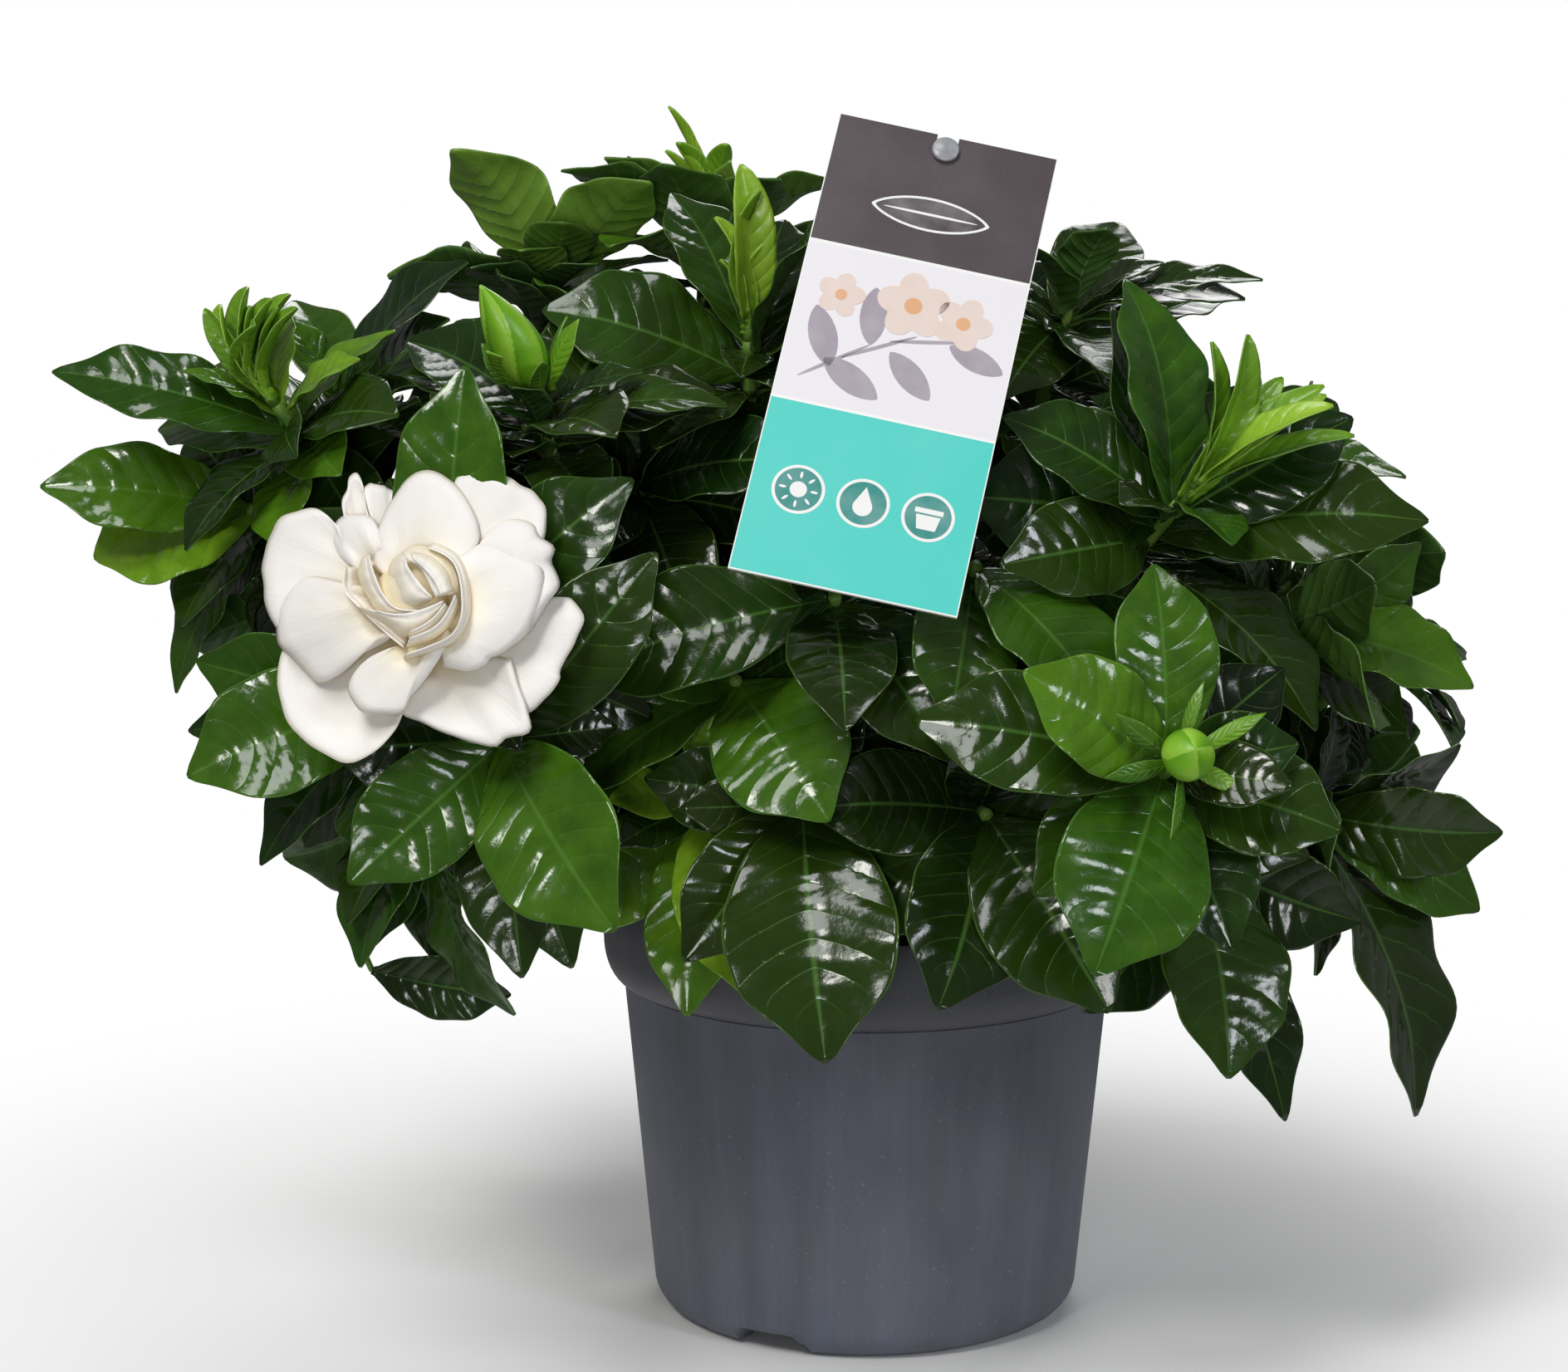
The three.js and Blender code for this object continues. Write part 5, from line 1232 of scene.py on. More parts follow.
# Bloom: every petal is a sheet from its root line to its rim line, in mm right and up from the middle of
# the flower as it faces the viewer. heights: at the root, at the crest, the crest's place, at the rim.
# shape: how far the sides rise, the ruffle, the roll of the rim.
bloom = {
    "petals": {
        "upperRight": {
            "root": [(0, 12), (6, 9)], "heights": (3, 10, 0.5, 9), "shape": (0.5, 0.8, 1.2),
            "rim": [(4, 34), (5, 37.5), (11, 38.5), (15.5, 37.5), (19.5, 35), (23.5, 33), (26, 28.5),
                    (26, 23.5), (24.5, 18)]},
        "behindTip": {
            "root": [(-14, 18), (-8, 18)], "heights": (2, 7, 0.5, 6), "shape": (0.5, 0.5, 1),
            "rim": [(-18.5, 34), (-17, 35.5), (-13.5, 35), (-10, 33), (-9, 30)]},
        "rightLow": {
            "root": [(6, 2), (4, -5)], "heights": (1, 4, 0.5, 3), "shape": (1, 0.8, 0.8),
            "rim": [(22, 4), (28, 7.5), (31, 8), (34, 5.5), (35, 2), (33, -3.5), (29.5, -9.5), (29.5, -12.5),
                    (25.5, -17), (23, -19.5), (20, -21.5)]},
        "bottomRight": {
            "root": [(-5, -5), (4, -5)], "heights": (2, 5.5, 0.5, 8), "shape": (-1, 1.0, 1.4),
            "rim": [(-8, -15), (-9, -20), (-2.5, -23), (4.5, -26), (12, -28), (15, -27.5), (16, -26.3),
                    (21, -25.3), (22.5, -23.5), (22, -21), (21, -17.5), (19, -12), (17.5, -7)]},
        "bottomLeft": {
            "root": [(-14, -1), (-8, -3)], "heights": (2, 5, 0.6, 9), "shape": (1, 0.7, 1),
            "rim": [(-36, -1), (-38.5, -8.5), (-38.5, -16), (-36, -22.5), (-31.5, -27.5), (-25.5, -31),
                    (-20, -32), (-15, -29.5), (-11, -25.5), (-8.5, -21), (-7, -15)]},
        "leftBack": {
            "root": [(-13, 7), (-11, 13)], "heights": (4, 10, 0.35, 9), "shape": (2.5, 0.6, 1.2),
            "rim": [(-39, 0), (-42, 6), (-42.8, 15.5), (-41.5, 22), (-38.5, 27), (-34, 29), (-30, 29.5),
                    (-27, 27.5), (-25, 24), (-24, 19)]},
        "curledTip": {
            "root": [(-19, 20), (-15, 20)], "heights": (4, 6, 0.6, 8), "shape": (3, 0.3, 2),
            "rim": [(-22.5, 26), (-23.5, 31), (-22.3, 34), (-21.8, 37), (-20, 38.3), (-18.6, 36), (-18, 31.5),
                    (-16.5, 26)]},
        "top": {
            "root": [(-11, 11), (1, 11)], "heights": (5, 14, 0.4, 13), "shape": (-0.6, 0.5, 1.5),
            "rim": [(-15.5, 15), (-14.5, 24), (-10.5, 32.5), (-5.5, 37.8), (0, 38), (4.5, 34.5), (8.5, 28.5),
                    (10, 22), (7, 16)]},
        "upperLeft": {
            "root": [(-15, 11), (-10, 12)], "heights": (4, 13, 0.55, 10), "shape": (-1.5, 0.6, 2),
            "rim": [(-25, 18), (-25.8, 23), (-24, 27), (-19.5, 28), (-16, 27), (-14.5, 24), (-14.5, 17)]},
        "rightFold": {
            "root": [(2, 10), (6, 4)], "heights": (4, 12, 0.6, 10), "shape": (0, 0.9, 1.6),
            "rim": [(9, 19), (14.5, 25.5), (19, 26.5), (23, 25), (24.5, 22.5), (28, 19.5), (27.3, 16),
                    (29.5, 11), (26.5, 6.5), (22, -1)]},
        "left": {
            "root": [(-13, 9), (-9, 0)], "heights": (5, 15, 0.38, 10), "shape": (-0.5, 0.7, 1.6),
            "rim": [(-32, 13.5), (-37.5, 8.5), (-39.5, 3), (-39, -2), (-38, -4.5), (-35, -7), (-29.2, -12.7),
                    (-23.5, -11), (-20, -7), (-17, -5.5), (-12, -3)]},
        "right": {
            "root": [(0, 13), (1, -4)], "heights": (5, 15, 0.4, 12), "shape": (-0.4, 0.8, 2.2),
            "rim": [(2.5, 16.5), (8, 19.5), (12, 21), (17, 19.5), (24.5, 15), (25.5, 9.5), (23.5, 2.5),
                    (20, -2.5), (15.5, -6), (13.2, -6.6), (11.5, -8.6), (7.5, -10), (1, -9)]},
        "lowerFront": {
            "root": [(2, 0), (-3, -3), (-10, -4)], "heights": (11, 16, 0.4, 14), "shape": (-0.5, 0.5, 1.6),
            "rim": [(3.5, -1), (2, -4.5), (-0.5, -8.5), (-4, -13.5), (-7, -17), (-8.5, -20.3), (-12.5, -20.7),
                    (-17.5, -20), (-20.5, -17), (-21.5, -14), (-20, -10.5), (-17, -7.5), (-13.5, -5.5)]},
    },
    # the swirl of small petals in the middle, each a crescent that leans over the next
    "heart": {
        "outerLeft": {
            "root": [(-19, 15), (-18, 10), (-15, 6), (-11, 2), (-7, -2)], "heights": (6, 11, 0.7, 13.5),
            "rim": [(-22.5, 15), (-22.7, 9.5), (-19, 5.2), (-15.5, 1.7), (-11, -2.2), (-8, -4.5)]},
        "outerRight": {
            "root": [(-1, 21), (4, 18.5), (6.8, 14.5), (7.8, 8.5), (7.6, 2), (4.5, -3), (-1, -5.5),
                     (-8, -7.5)],
            "heights": (9, 14, 0.6, 17),
            "rim": [(-2.5, 19.5), (2.2, 17.2), (4.5, 14), (5.6, 8.5), (5.4, 2.5), (3, -1.5), (-1.5, -3.8),
                    (-8, -6.2)]},
        "leftCrescent": {
            "root": [(-18.3, 17), (-19, 13), (-17.5, 9.5), (-14.5, 4.5), (-12, 2.5)],
            "heights": (11.5, 15, 0.6, 17),
            "rim": [(-16.5, 17.8), (-15, 13), (-13, 8.5), (-9.5, 5), (-4, 4.5)]},
        "lowCrescent": {
            "root": [(-19.5, 5.5), (-15.5, 3), (-11.5, 0.5), (-8.5, -1.5), (-5.5, -1), (-2.5, 1), (1, 5)],
            "heights": (13, 16.5, 0.6, 17.5), "rim": [(-14, 4), (-8.5, 3.6), (-3, 5), (1.5, 6.8)]},
        "lowStrip": {
            "root": [(2.8, 5), (0.7, 2), (-2.5, -0.8), (-7, -2)], "heights": (13, 16, 0.6, 17.5),
            "rim": [(1.8, 6.2), (-0.5, 3.3), (-3, 1.3), (-6.5, -0.6)]},
        "rightStrip": {
            "root": [(5, 6), (2.8, 1), (-1.5, -2.4), (-7.5, -4.2)], "heights": (13, 16, 0.6, 17.5),
            "rim": [(4.2, 8.3), (1.7, 3.3), (-1.3, 0.2), (-6.8, -2.2)]},
        "innerLeft": {
            "root": [(-8.5, 18), (-11, 16), (-11.7, 12.5), (-10.7, 8.5), (-9, 5.5), (-5.5, 5), (-1.3, 7)],
            "heights": (13, 18, 0.7, 19),
            "rim": [(-7.8, 17.3), (-6.8, 14.5), (-5, 12), (-3, 9.5), (-1.3, 7.5)]},
        "innerRight": {
            "root": [(-8.7, 18.3), (-5.5, 19.8), (-1.5, 19.2), (2.7, 16.5), (4.7, 12), (5, 8.5)],
            "heights": (13, 16.5, 0.6, 17.5), "rim": [(-7.5, 16.8), (-4.3, 14.5), (-2, 10.5), (-0.5, 7.5)]},
        "innerFold": {
            "root": [(-6.5, 18.3), (-2, 17.3), (1.8, 14), (3.6, 9)], "heights": (16, 18.5, 0.6, 19.5),
            "rim": [(-6, 16.8), (-3, 14), (-0.7, 11), (0.8, 8)]},
    },
    "heartShape": (0, 0.25, 0.6), "heartLift": 4,
    "core": [(0, 9), (9, 9), (15, 7.5), (17.5, 6), (19, 3.2), (19.6, 0.8)], "coreAt": (-6, 8),
    "rows": 26, "columns": 41, "thickness": 0.5, "nibble": 0.005, "pleat": 0.08,
    "calyxLength": 7, "cup": [(0, 1.7), (4, 2.6), (6.7, 4.4)],
    "right": (1.0, 0.02, 0.0), "up": (0.0, 0.16, 0.99), "towards": (0.12, -0.98, 0.14),
    "rootToRim": [(0.05, "#f3e2b8"), (0.3, "#fbf1dc"), (0.6, "#fef8ef"), (1.0, "#fef8f2")],
    "cloudColour": "#eee5d2", "lineColour": "#cdbd97", "rimColour": "#efe2bf",
}
bloomShoot = shoots["bloomRosette"]
bloomAxis = shootAxis(bloomShoot)
bloomBase = stemPoint(bloomShoot, -(bloom["calyxLength"] + gap))
bloomRight, bloomUp, bloomTowards = [unit(np.array(bloom[key])) for key in ("right", "up", "towards")]


def bloomPoint(x, y, height):
    # A place in the flower: the heights count from the plane across the flower's own axis
    tilt = -(x * (bloomAxis @ bloomRight) + y * (bloomAxis @ bloomUp)) / (bloomAxis @ bloomTowards)
    return (
        bloomBase + np.multiply.outer(x, bloomRight) + np.multiply.outer(y, bloomUp)
        + np.multiply.outer(height + tilt, bloomTowards)
    )


def smoothCurve(points, count):
    # count points, evenly apart, on a smooth line through the given ones
    points = np.array(points, float)
    around = np.vstack([2 * points[0] - points[1], points, 2 * points[-1] - points[-2]])
    u = np.linspace(0, 1, 12, endpoint=False)[:, None]
    fine = []
    for a, b, c, d in zip(around, around[1:], around[2:], around[3:]):
        square, cube = 2 * a - 5 * b + 4 * c - d, 3 * b - a - 3 * c + d
        fine.append(0.5 * (2 * b + (c - a) * u + square * u ** 2 + cube * u ** 3))
    fine = np.vstack(fine + [points[-1:]])
    run = np.concatenate([[0], np.cumsum(np.linalg.norm(np.diff(fine, axis=0), axis=1))])
    places = np.linspace(0, run[-1], count)
    return np.stack([np.interp(places, run, fine[:, i]) for i in range(fine.shape[1])], -1)


def gridNormals(points):
    down = np.gradient(points, axis=0)
    side = np.gradient(points, axis=1)
    normal = np.cross(down, side)
    return normal / np.maximum(np.linalg.norm(normal, axis=-1, keepdims=True), 1e-9)


def pourPetal(sink, points, blade):
    # A thick sheet round a grid of points, with rounded, slightly swollen rims
    normal = gridNormals(points)
    if (normal.reshape(-1, 3) @ bloomTowards).mean() < 0:
        points, normal, blade = points[:, ::-1], -normal[:, ::-1], blade[:, ::-1]
    rows, columns = points.shape[:2]
    inset = np.minimum(
        np.arange(rows)[::-1][:, None], np.minimum(np.arange(columns), np.arange(columns)[::-1])[None, :]
    )
    swollen = bloom["thickness"] / 2 * np.choose(np.clip(inset, 0, 3), [0.25, 0.75, 0.95, 1.0])
    half = normal * swollen[..., None]
    pourSheet(sink, points + half, points - half, blade, (0.5, 0.5))


def petalGrid(petal, shape, lift, rng):
    low, high, crest, end = petal["heights"]
    rise, ruffle, roll = shape
    t = np.linspace(0, 1, bloom["rows"])[:, None]
    s = np.linspace(-1, 1, bloom["columns"])[None, :]
    root, rim = [smoothCurve(petal[key], bloom["columns"]) for key in ("root", "rim")]
    t, s = np.broadcast_arrays(t, s)
    nibbles = bloom["nibble"] * (np.sin(13 * s + 5 * rise) + 0.7 * np.sin(23 * s + 9 * roll)) * t ** 9
    flat = root * (1 - t)[..., None] + rim * t[..., None]
    flat = flat + (rim - root) * nibbles[..., None]
    up = low + (high - low) * np.sin(math.pi / 2 * np.minimum(t / crest, 1))
    height = up + (end - high) * (1 - np.cos(math.pi / 2 * np.clip((t - crest) / (1 - crest), 0, 1)))
    first, second = rng.uniform(0, 6), rng.uniform(0, 6)
    wobble = ruffle * (0.9 * np.sin(first + 3.1 * s) + 0.5 * np.sin(second + 7.3 * s)) * t ** 2
    hollow = -1.4 * ruffle * np.exp(-((s - rng.uniform(-0.4, 0.4)) / 0.3) ** 2) * np.sin(math.pi * t)
    pleats = bloom["pleat"] * np.sin(17 * s + first) * np.sin(math.pi * t) ** 0.7
    edge = np.maximum(smoothStep(0.9, 1.0, t), smoothStep(0.92, 1.0, np.abs(s)) * smoothStep(0.2, 0.5, t))
    height = height + rise * s ** 2 * t + wobble + hollow + pleats - roll * edge ** 2
    return bloomPoint(flat[..., 0], flat[..., 1], height + lift), np.stack([0.5 + 0.5 * s, t], -1)


def petalMaterial():
    # Thick waxy petals: soft white that lets some light in, creamier towards the heart, with faint tan
    # lines along them. The map "blade" holds the place across and along the petal.
    material, add, shader = newMaterial(
        "waxyPetal", IOR=1.42, Roughness=0.52, Subsurface_Weight=0.25, Subsurface_Radius=(1.0, 0.8, 0.55),
        Subsurface_Scale=2.2 * metres,
    )
    blade = add("SeparateXYZ", [add("UVMap", uv_map="blade")]).node
    across, along = blade.outputs["X"], blade.outputs["Y"]
    where = add("TexCoord", pick="Object")
    cream = add("ValToRGB", [along], stops=bloom["rootToRim"])
    clouds = add("TexNoise", {"Vector": where, "Scale": 1 / (8 * metres), "Detail": 3})
    cloud = add("ValToRGB", [clouds], stops=[(0.5, 0.0), (0.8, 0.2)])
    body = add("Mix", {0: cloud, 6: cream, 7: bloom["cloudColour"]}, **asColour)
    lined = add("CombineXYZ", [add("Math MULTIPLY", [across, 42.0]), add("Math MULTIPLY", [along, 2.5])])
    lines = add("TexNoise", {"Vector": lined, "Scale": 1.0, "Detail": 2.0})
    tan = add("ValToRGB", [lines], stops=[(0.6, 0.0), (0.85, 0.14)])
    marked = add("Mix", {0: tan, 6: body, 7: bloom["lineColour"]}, **asColour)
    away = add("Math ABSOLUTE", [add("Math MULTIPLY_ADD", [across, 2.0, -1.0])])
    rim = add("ValToRGB", [add("Math MAXIMUM", [away, along])], stops=[(0.95, 0.0), (1.0, 0.6)])
    skin = add("TexNoise", {"Vector": where, "Scale": 1 / (2.5 * metres), "Detail": 3})
    relief = add("Math MULTIPLY_ADD", [skin, 0.6, lines])
    wire(
        shader, Base_Color=add("Mix", {0: rim, 6: marked, 7: bloom["rimColour"]}, **asColour),
        Normal=add("Bump", {"Height": relief, "Strength": 0.3, "Distance": 0.3 * metres}),
    )
    return material


def makeBloom():
    sink = newSink()
    rng = random.Random(11)
    core = np.array(bloom["core"], float)
    middle = bloomPoint(*[np.full(len(core), float(c)) for c in bloom["coreAt"]], core[:, 0])
    pourTube(sink, middle, core[:, 1], 24)
    sink["blade"][-1][:] = (0.5, 0.12)
    for petal in bloom["petals"].values():
        pourPetal(sink, *petalGrid(petal, petal["shape"], 0, rng))
    for petal in bloom["heart"].values():
        points, blade = petalGrid(petal, bloom["heartShape"], bloom["heartLift"], rng)
        blade[..., 1] = 0.14 + 0.5 * blade[..., 1]  # they keep the cream of the petals' lower half
        pourPetal(sink, points, blade)
    makePiece("bloom_petals", sink, [petalMaterial()], ["bloom"])
    sink = newSink()
    heights = np.linspace(0, bloom["calyxLength"] - gap, 10)
    radii = np.interp(heights, *np.transpose(bloom["cup"]))
    pourTube(sink, stemPoint(bloomShoot, -gap) + np.outer(heights, bloomAxis), radii, 16)
    makePiece("bloom_cup", sink, [waxyBud], ["bloom_calyx"])


makeBloom()
print("bloom made")

# Buds. lap: how strongly each petal laps over the next. sepal: length, width and how far it leans out
buds = {
    "bud_large": {
        "on": "bigBud", "length": 31, "radius": 6.7, "bend": (-7, 0, -1), "lap": 0.5, "blunt": 0.8,
        "stalk": 5, "ridges": 5, "twist": 90, "sepals": 6, "sepal": (20, 5.5, 26), "sepalFoot": 0.5,
    },
    "bud_round": {
        "on": "roundBud", "length": 13, "radius": 6.4, "bend": (0, 0, 0), "lap": 0.25, "blunt": 1,
        "stalk": 8, "ridges": 4, "twist": 20, "sepals": 6, "sepal": (20, 3.8, 66), "sepalFoot": 0.2,
    },
}
for name, bud in buds.items():
    sink = newSink()
    rng = random.Random(bud["length"])
    shoot = shoots[bud["on"]]
    axis, root = shootAxis(shoot), stemPoint(shoot, -gap)
    stalkSteps = np.linspace(0, bud["stalk"] + 2, 6)
    pourTube(sink, root + np.outer(stalkSteps, axis), np.linspace(1.4, 2.2, 6), 10)
    sink["blade"][-1][:, 0] = 0.4
    rings, sides = 30, 60
    share = np.linspace(0.03, 1, rings)[:, None]
    turn = np.linspace(0, 2 * math.pi, sides, endpoint=False)[None, :]
    swell = np.sin(math.pi * share ** bud["blunt"]) ** 0.8
    fold = (bud["ridges"] * (turn - math.radians(bud["twist"]) * share)) % (2 * math.pi) / (2 * math.pi)
    # each petal of the bud laps over the next, so a ridge rises slowly and drops steeply
    ridge = 1 + bud["lap"] * (0.12 * (fold - 0.5) - 0.16 * np.exp(-((fold - 1) / 0.07) ** 2) * (fold > 0.5))
    radius = np.maximum(bud["radius"] * swell, 0.35) * ridge
    side, over = crossAxes(axis)
    points = root + (bud["stalk"] - 1 + bud["length"] * share)[..., None] * axis
    points = points + (radius * np.cos(turn))[..., None] * side + (radius * np.sin(turn))[..., None] * over
    points = points + (share ** 1.6)[..., None] * np.array(bud["bend"])
    # painted shade and light for the bud's material: low in each furrow, high on each petal's ridge
    light = np.broadcast_to(0.25 + 0.6 * fold, points.shape[:2])
    blade = np.stack([light, np.broadcast_to(share, light.shape)], -1)
    pour(sink, points, closedRound(rings, sides), 0, blade)
    length, width, spread = bud["sepal"]
    for i in range(bud["sepals"]):
        turn = 2 * math.pi * (i + rng.uniform(0.1, 0.5)) / bud["sepals"]
        lean = leaning(axis, turn, spread * rng.uniform(0.8, 1.35))
        record = [*lean, length * rng.uniform(0.6, 1.15), width * rng.uniform(0.5, 1.4), rng.uniform(-40, 40)]
        out = unit(heading(*lean) - axis * heading(*lean).dot(axis))
        foot = root + axis * bud["stalk"] * 0.8 + out * bud["radius"] * bud["sepalFoot"]
        blade = leafFrame(foot, record, axis)
        # the fold wraps round the bud instead of away from it
        blade.update(fold=-0.35, quilt=0.1, wave=0.2)
        pourLeaf(sink, blade, (rng.uniform(0.3, 0.8), rng.random()), rng, (16, 7), (1, 1))
    makePiece("fresh_" + name, sink, [waxyBud, youngLeaf], [name])
print("buds made")

# Label: a thin printed card on a flat stake. bands: how high up the card each colour starts.
card = {
    "width": 56, "height": 128, "thickness": 0.8, "foot": (-6, -115, 212), "head": (20, -50, 319),
    "turn": 4, "notchWidth": 5.5, "notchDepth": 7, "bands": (0.0, 0.37, 0.715), "line": 0.8,
    "lowColour": "#52d3c8", "middleColour": "#eeebf0", "topColour": "#4b4145", "lineColour": "#f6f6f4",
    "stakeWidth": 3, "stakeThickness": 1.2, "stakeHeadRadius": 3.4, "stakeHeadDepth": 1.2,
    "stakeFoot": (8, -4, 60),
}
cardFoot = np.array(card["foot"], float)
cardUp = unit(np.array(card["head"], float) - cardFoot)
cardFacing = unit(-np.cross(cardUp, heading(90 + card["turn"], 0)))
cardSide = unit(np.cross(cardUp, cardFacing))


def cardMaterial():
    # Coated card: a charcoal, a pale and a turquoise band with thin white rules between them, satin varnish.
    # Its fibres are drawn coarser than they are, so that they show.
    material, add, shader = newMaterial("varnishedCard", IOR=1.5, Roughness=0.34)
    where = add("TexCoord", pick="Object")
    offset = add("VectorMath SUBTRACT", [where, tuple(cardFoot * metres)])
    up = add("VectorMath DOT_PRODUCT", [offset, tuple(cardUp)], pick="Value")
    side = add("VectorMath DOT_PRODUCT", [offset, tuple(cardSide)], pick="Value")
    share = add("Math DIVIDE", [up, card["height"] * metres])
    low, high = card["bands"][1:]
    aboveLow, aboveHigh = [add("Math GREATER_THAN", [share, place]) for place in (low, high)]
    lower = add("Mix", {0: aboveLow, 6: card["lowColour"], 7: card["middleColour"]}, **asColour)
    bands = add("Mix", {0: aboveHigh, 6: lower, 7: card["topColour"]}, **asColour)
    halfRule = card["line"] / card["height"] / 2
    rules = []
    for place in (low, high):
        apart = add("Math ABSOLUTE", [add("Math SUBTRACT", [share, place])])
        rules.append(add("Math LESS_THAN", [apart, halfRule]))
    edge = (card["width"] / 2 - 0.35 * card["line"]) * metres
    sides = add("Math GREATER_THAN", [add("Math ABSOLUTE", [side]), edge])
    foot = add("Math LESS_THAN", [up, 0.5 * card["line"] * metres])
    white = add("Math MAXIMUM", [add("Math MAXIMUM", rules), add("Math MAXIMUM", [sides, foot])])
    printed = add("Mix", {0: white, 6: bands, 7: card["lineColour"]}, **asColour)
    clouds = add("TexNoise", {"Vector": where, "Scale": 1 / (20 * metres), "Detail": 3})
    cloud = add("ValToRGB", [clouds], stops=[(0.4, 0.0), (0.8, 0.03)])
    fibres = add("TexNoise", {"Vector": where, "Scale": 1 / (0.8 * metres), "Detail": 3})
    wire(
        shader,
        Base_Color=add("Mix", {0: cloud, 6: printed, 7: "#ffffff"}, **asColour),
        Roughness=add("Math MULTIPLY_ADD", [fibres, 0.12, 0.28]),
        Normal=add("Bump", {"Height": fibres, "Strength": 0.06, "Distance": 0.2 * metres}),
    )
    return material


def inkMaterial(name, code):
    # Printing ink under the same varnish
    material, add, shader = newMaterial(name, IOR=1.5, Roughness=0.36)
    where = add("TexCoord", pick="Object")
    clouds = add("TexNoise", {"Vector": where, "Scale": 1 / (6 * metres), "Detail": 3})
    cloud = add("ValToRGB", [clouds], stops=[(0.35, 0.0), (0.75, 0.12)])
    wire(shader, Base_Color=add("Mix", {0: cloud, 6: code, 7: "#ffffff"}, **asColour))
    return material


# The print, in mm across and up the card. stems, leaves: place, turn and length. blossoms: place and size.
# signs: the place across the card of each care sign.
printing = {
    "inks": {
        "inkWhite": "#f3f3f1", "inkStem": "#a39aa6", "inkPeach": "#e2a878", "inkDeepTeal": "#2f8f88",
        "inkCharcoal": "#4b4145", "inkBlush": "#e6d3c9",
    },
    "proud": 0.06, "sunk": 0.2,
    "stems": [(-15, 60, 38, 20), (-5, 66, 30, 20), (6, 70, 12, 18)],
    "leaves": [(-19, 66, 112, 17), (-10, 56, -28, 17), (-8, 74, 96, 16), (4, 60, -42, 16), (19, 68, -18, 15)],
    "blossoms": [(1, 79, 15), (14, 77, 12), (-17, 78, 10)], "lobes": 5,
    "signs": {"sun": -16, "drop": 0, "pot": 16}, "signsUp": 24, "signSize": 13, "signRing": 0.8, "rays": 8,
}


def pourPrint(sink, outline, slot, rise=0.0):
    # A flat printed shape on the card: outline in millimetres across and up the card
    area = sum(x0 * y1 - x1 * y0 for (x0, y0), (x1, y1) in zip(outline, outline[1:] + outline[:1]))
    if area < 0:
        outline = outline[::-1]
    front = card["thickness"] + printing["proud"] + rise
    back = card["thickness"] - printing["sunk"]
    points = [
        cardFoot + cardSide * x + cardUp * y + cardFacing * z for z in (front, back) for x, y in outline
    ]
    n = len(outline)
    faces = [tuple(range(n)), tuple(range(2 * n - 1, n - 1, -1))]
    faces += [(i, i + n, (i + 1) % n + n, (i + 1) % n) for i in range(n)]
    pour(sink, points, faces, slot)


def ovalOutline(x, y, long, wide, degrees=0, pointed=1.0, steps=28):
    turn = math.radians(degrees)
    shape = []
    for k in range(steps):
        a = 2 * math.pi * k / steps
        u, v = long / 2 * math.cos(a), wide / 2 * math.sin(a) * abs(math.sin(a)) ** (pointed - 1)
        shape.append(
            (x + u * math.cos(turn) - v * math.sin(turn), y + u * math.sin(turn) + v * math.cos(turn))
        )
    return shape


def onCircle(x, y, radius, degrees):
    turn = math.radians(degrees)
    return x + radius * math.cos(turn), y + radius * math.sin(turn)


def makePrint():
    white, stem, peach, deepTeal, charcoal, blush = range(len(printing["inks"]))
    sink = newSink()
    # pale band: a plain drooping sprig with leaves and three round blossoms of five lobes
    for x, y, degrees, long in printing["stems"]:
        pourPrint(sink, ovalOutline(x, y, long, 1.0, degrees), stem)
    for x, y, degrees, long in printing["leaves"]:
        pourPrint(sink, ovalOutline(x, y, long, 0.42 * long, degrees, 1.5), stem, 0.01)
    for x, y, across in printing["blossoms"]:
        for k in range(printing["lobes"]):
            degrees = 360 / printing["lobes"] * k + 18 + 9 * x
            lobe = ovalOutline(*onCircle(x, y, 0.32 * across, degrees), 0.6 * across, 0.5 * across, degrees)
            pourPrint(sink, lobe, blush, 0.02 + 0.01 * k)
        pourPrint(sink, ovalOutline(x, y, 0.3 * across, 0.3 * across), peach, 0.08)
    # turquoise band: three care signs in white rings - sun, drop, pot
    signs, up, size = printing["signs"], printing["signsUp"], printing["signSize"]
    disc = size - 2 * printing["signRing"]
    sun = [ovalOutline(signs["sun"], up, 4.2, 4.2)]
    for ray in range(printing["rays"]):
        degrees = 360 / printing["rays"] * ray
        sun.append(ovalOutline(*onCircle(signs["sun"], up, 3.9, degrees), 1.9, 0.7, degrees, steps=10))
    drop = [onCircle(signs["drop"], up - 1, 2.4, degrees) for degrees in range(-215, 36, 12)]
    drop.append((signs["drop"], up + 4.4))
    potSign = [
        [(signs["pot"] + x, up + y) for x, y in shape] for shape in (
            [(-2.3, -3.4), (2.3, -3.4), (3, 0.4), (-3, 0.4)],
            [(-3.5, 0.9), (3.5, 0.9), (3.5, 2.2), (-3.5, 2.2)],
        )
    ]
    for place, sign in [("sun", sun), ("drop", [drop]), ("pot", potSign)]:
        pourPrint(sink, ovalOutline(signs[place], up, size, size, steps=40), white)
        pourPrint(sink, ovalOutline(signs[place], up, disc, disc, steps=40), deepTeal, 0.01)
        for outline in sign:
            pourPrint(sink, outline, white, 0.02)
    # charcoal band: a thin pale leaf outline made of two ovals
    pourPrint(sink, ovalOutline(0, 105, 30, 9.5, 0, 1.5, 40), white)
    pourPrint(sink, ovalOutline(0, 105, 28, 8.2, 0, 1.5, 40), charcoal, 0.01)
    pourPrint(sink, ovalOutline(0, 105, 24, 0.7), white, 0.02)
    inks = [inkMaterial(name, code) for name, code in printing["inks"].items()]
    makePiece("label_print", sink, inks, smooth=False)


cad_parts["label_card"].material_slots[0].material = cardMaterial()
makePrint()


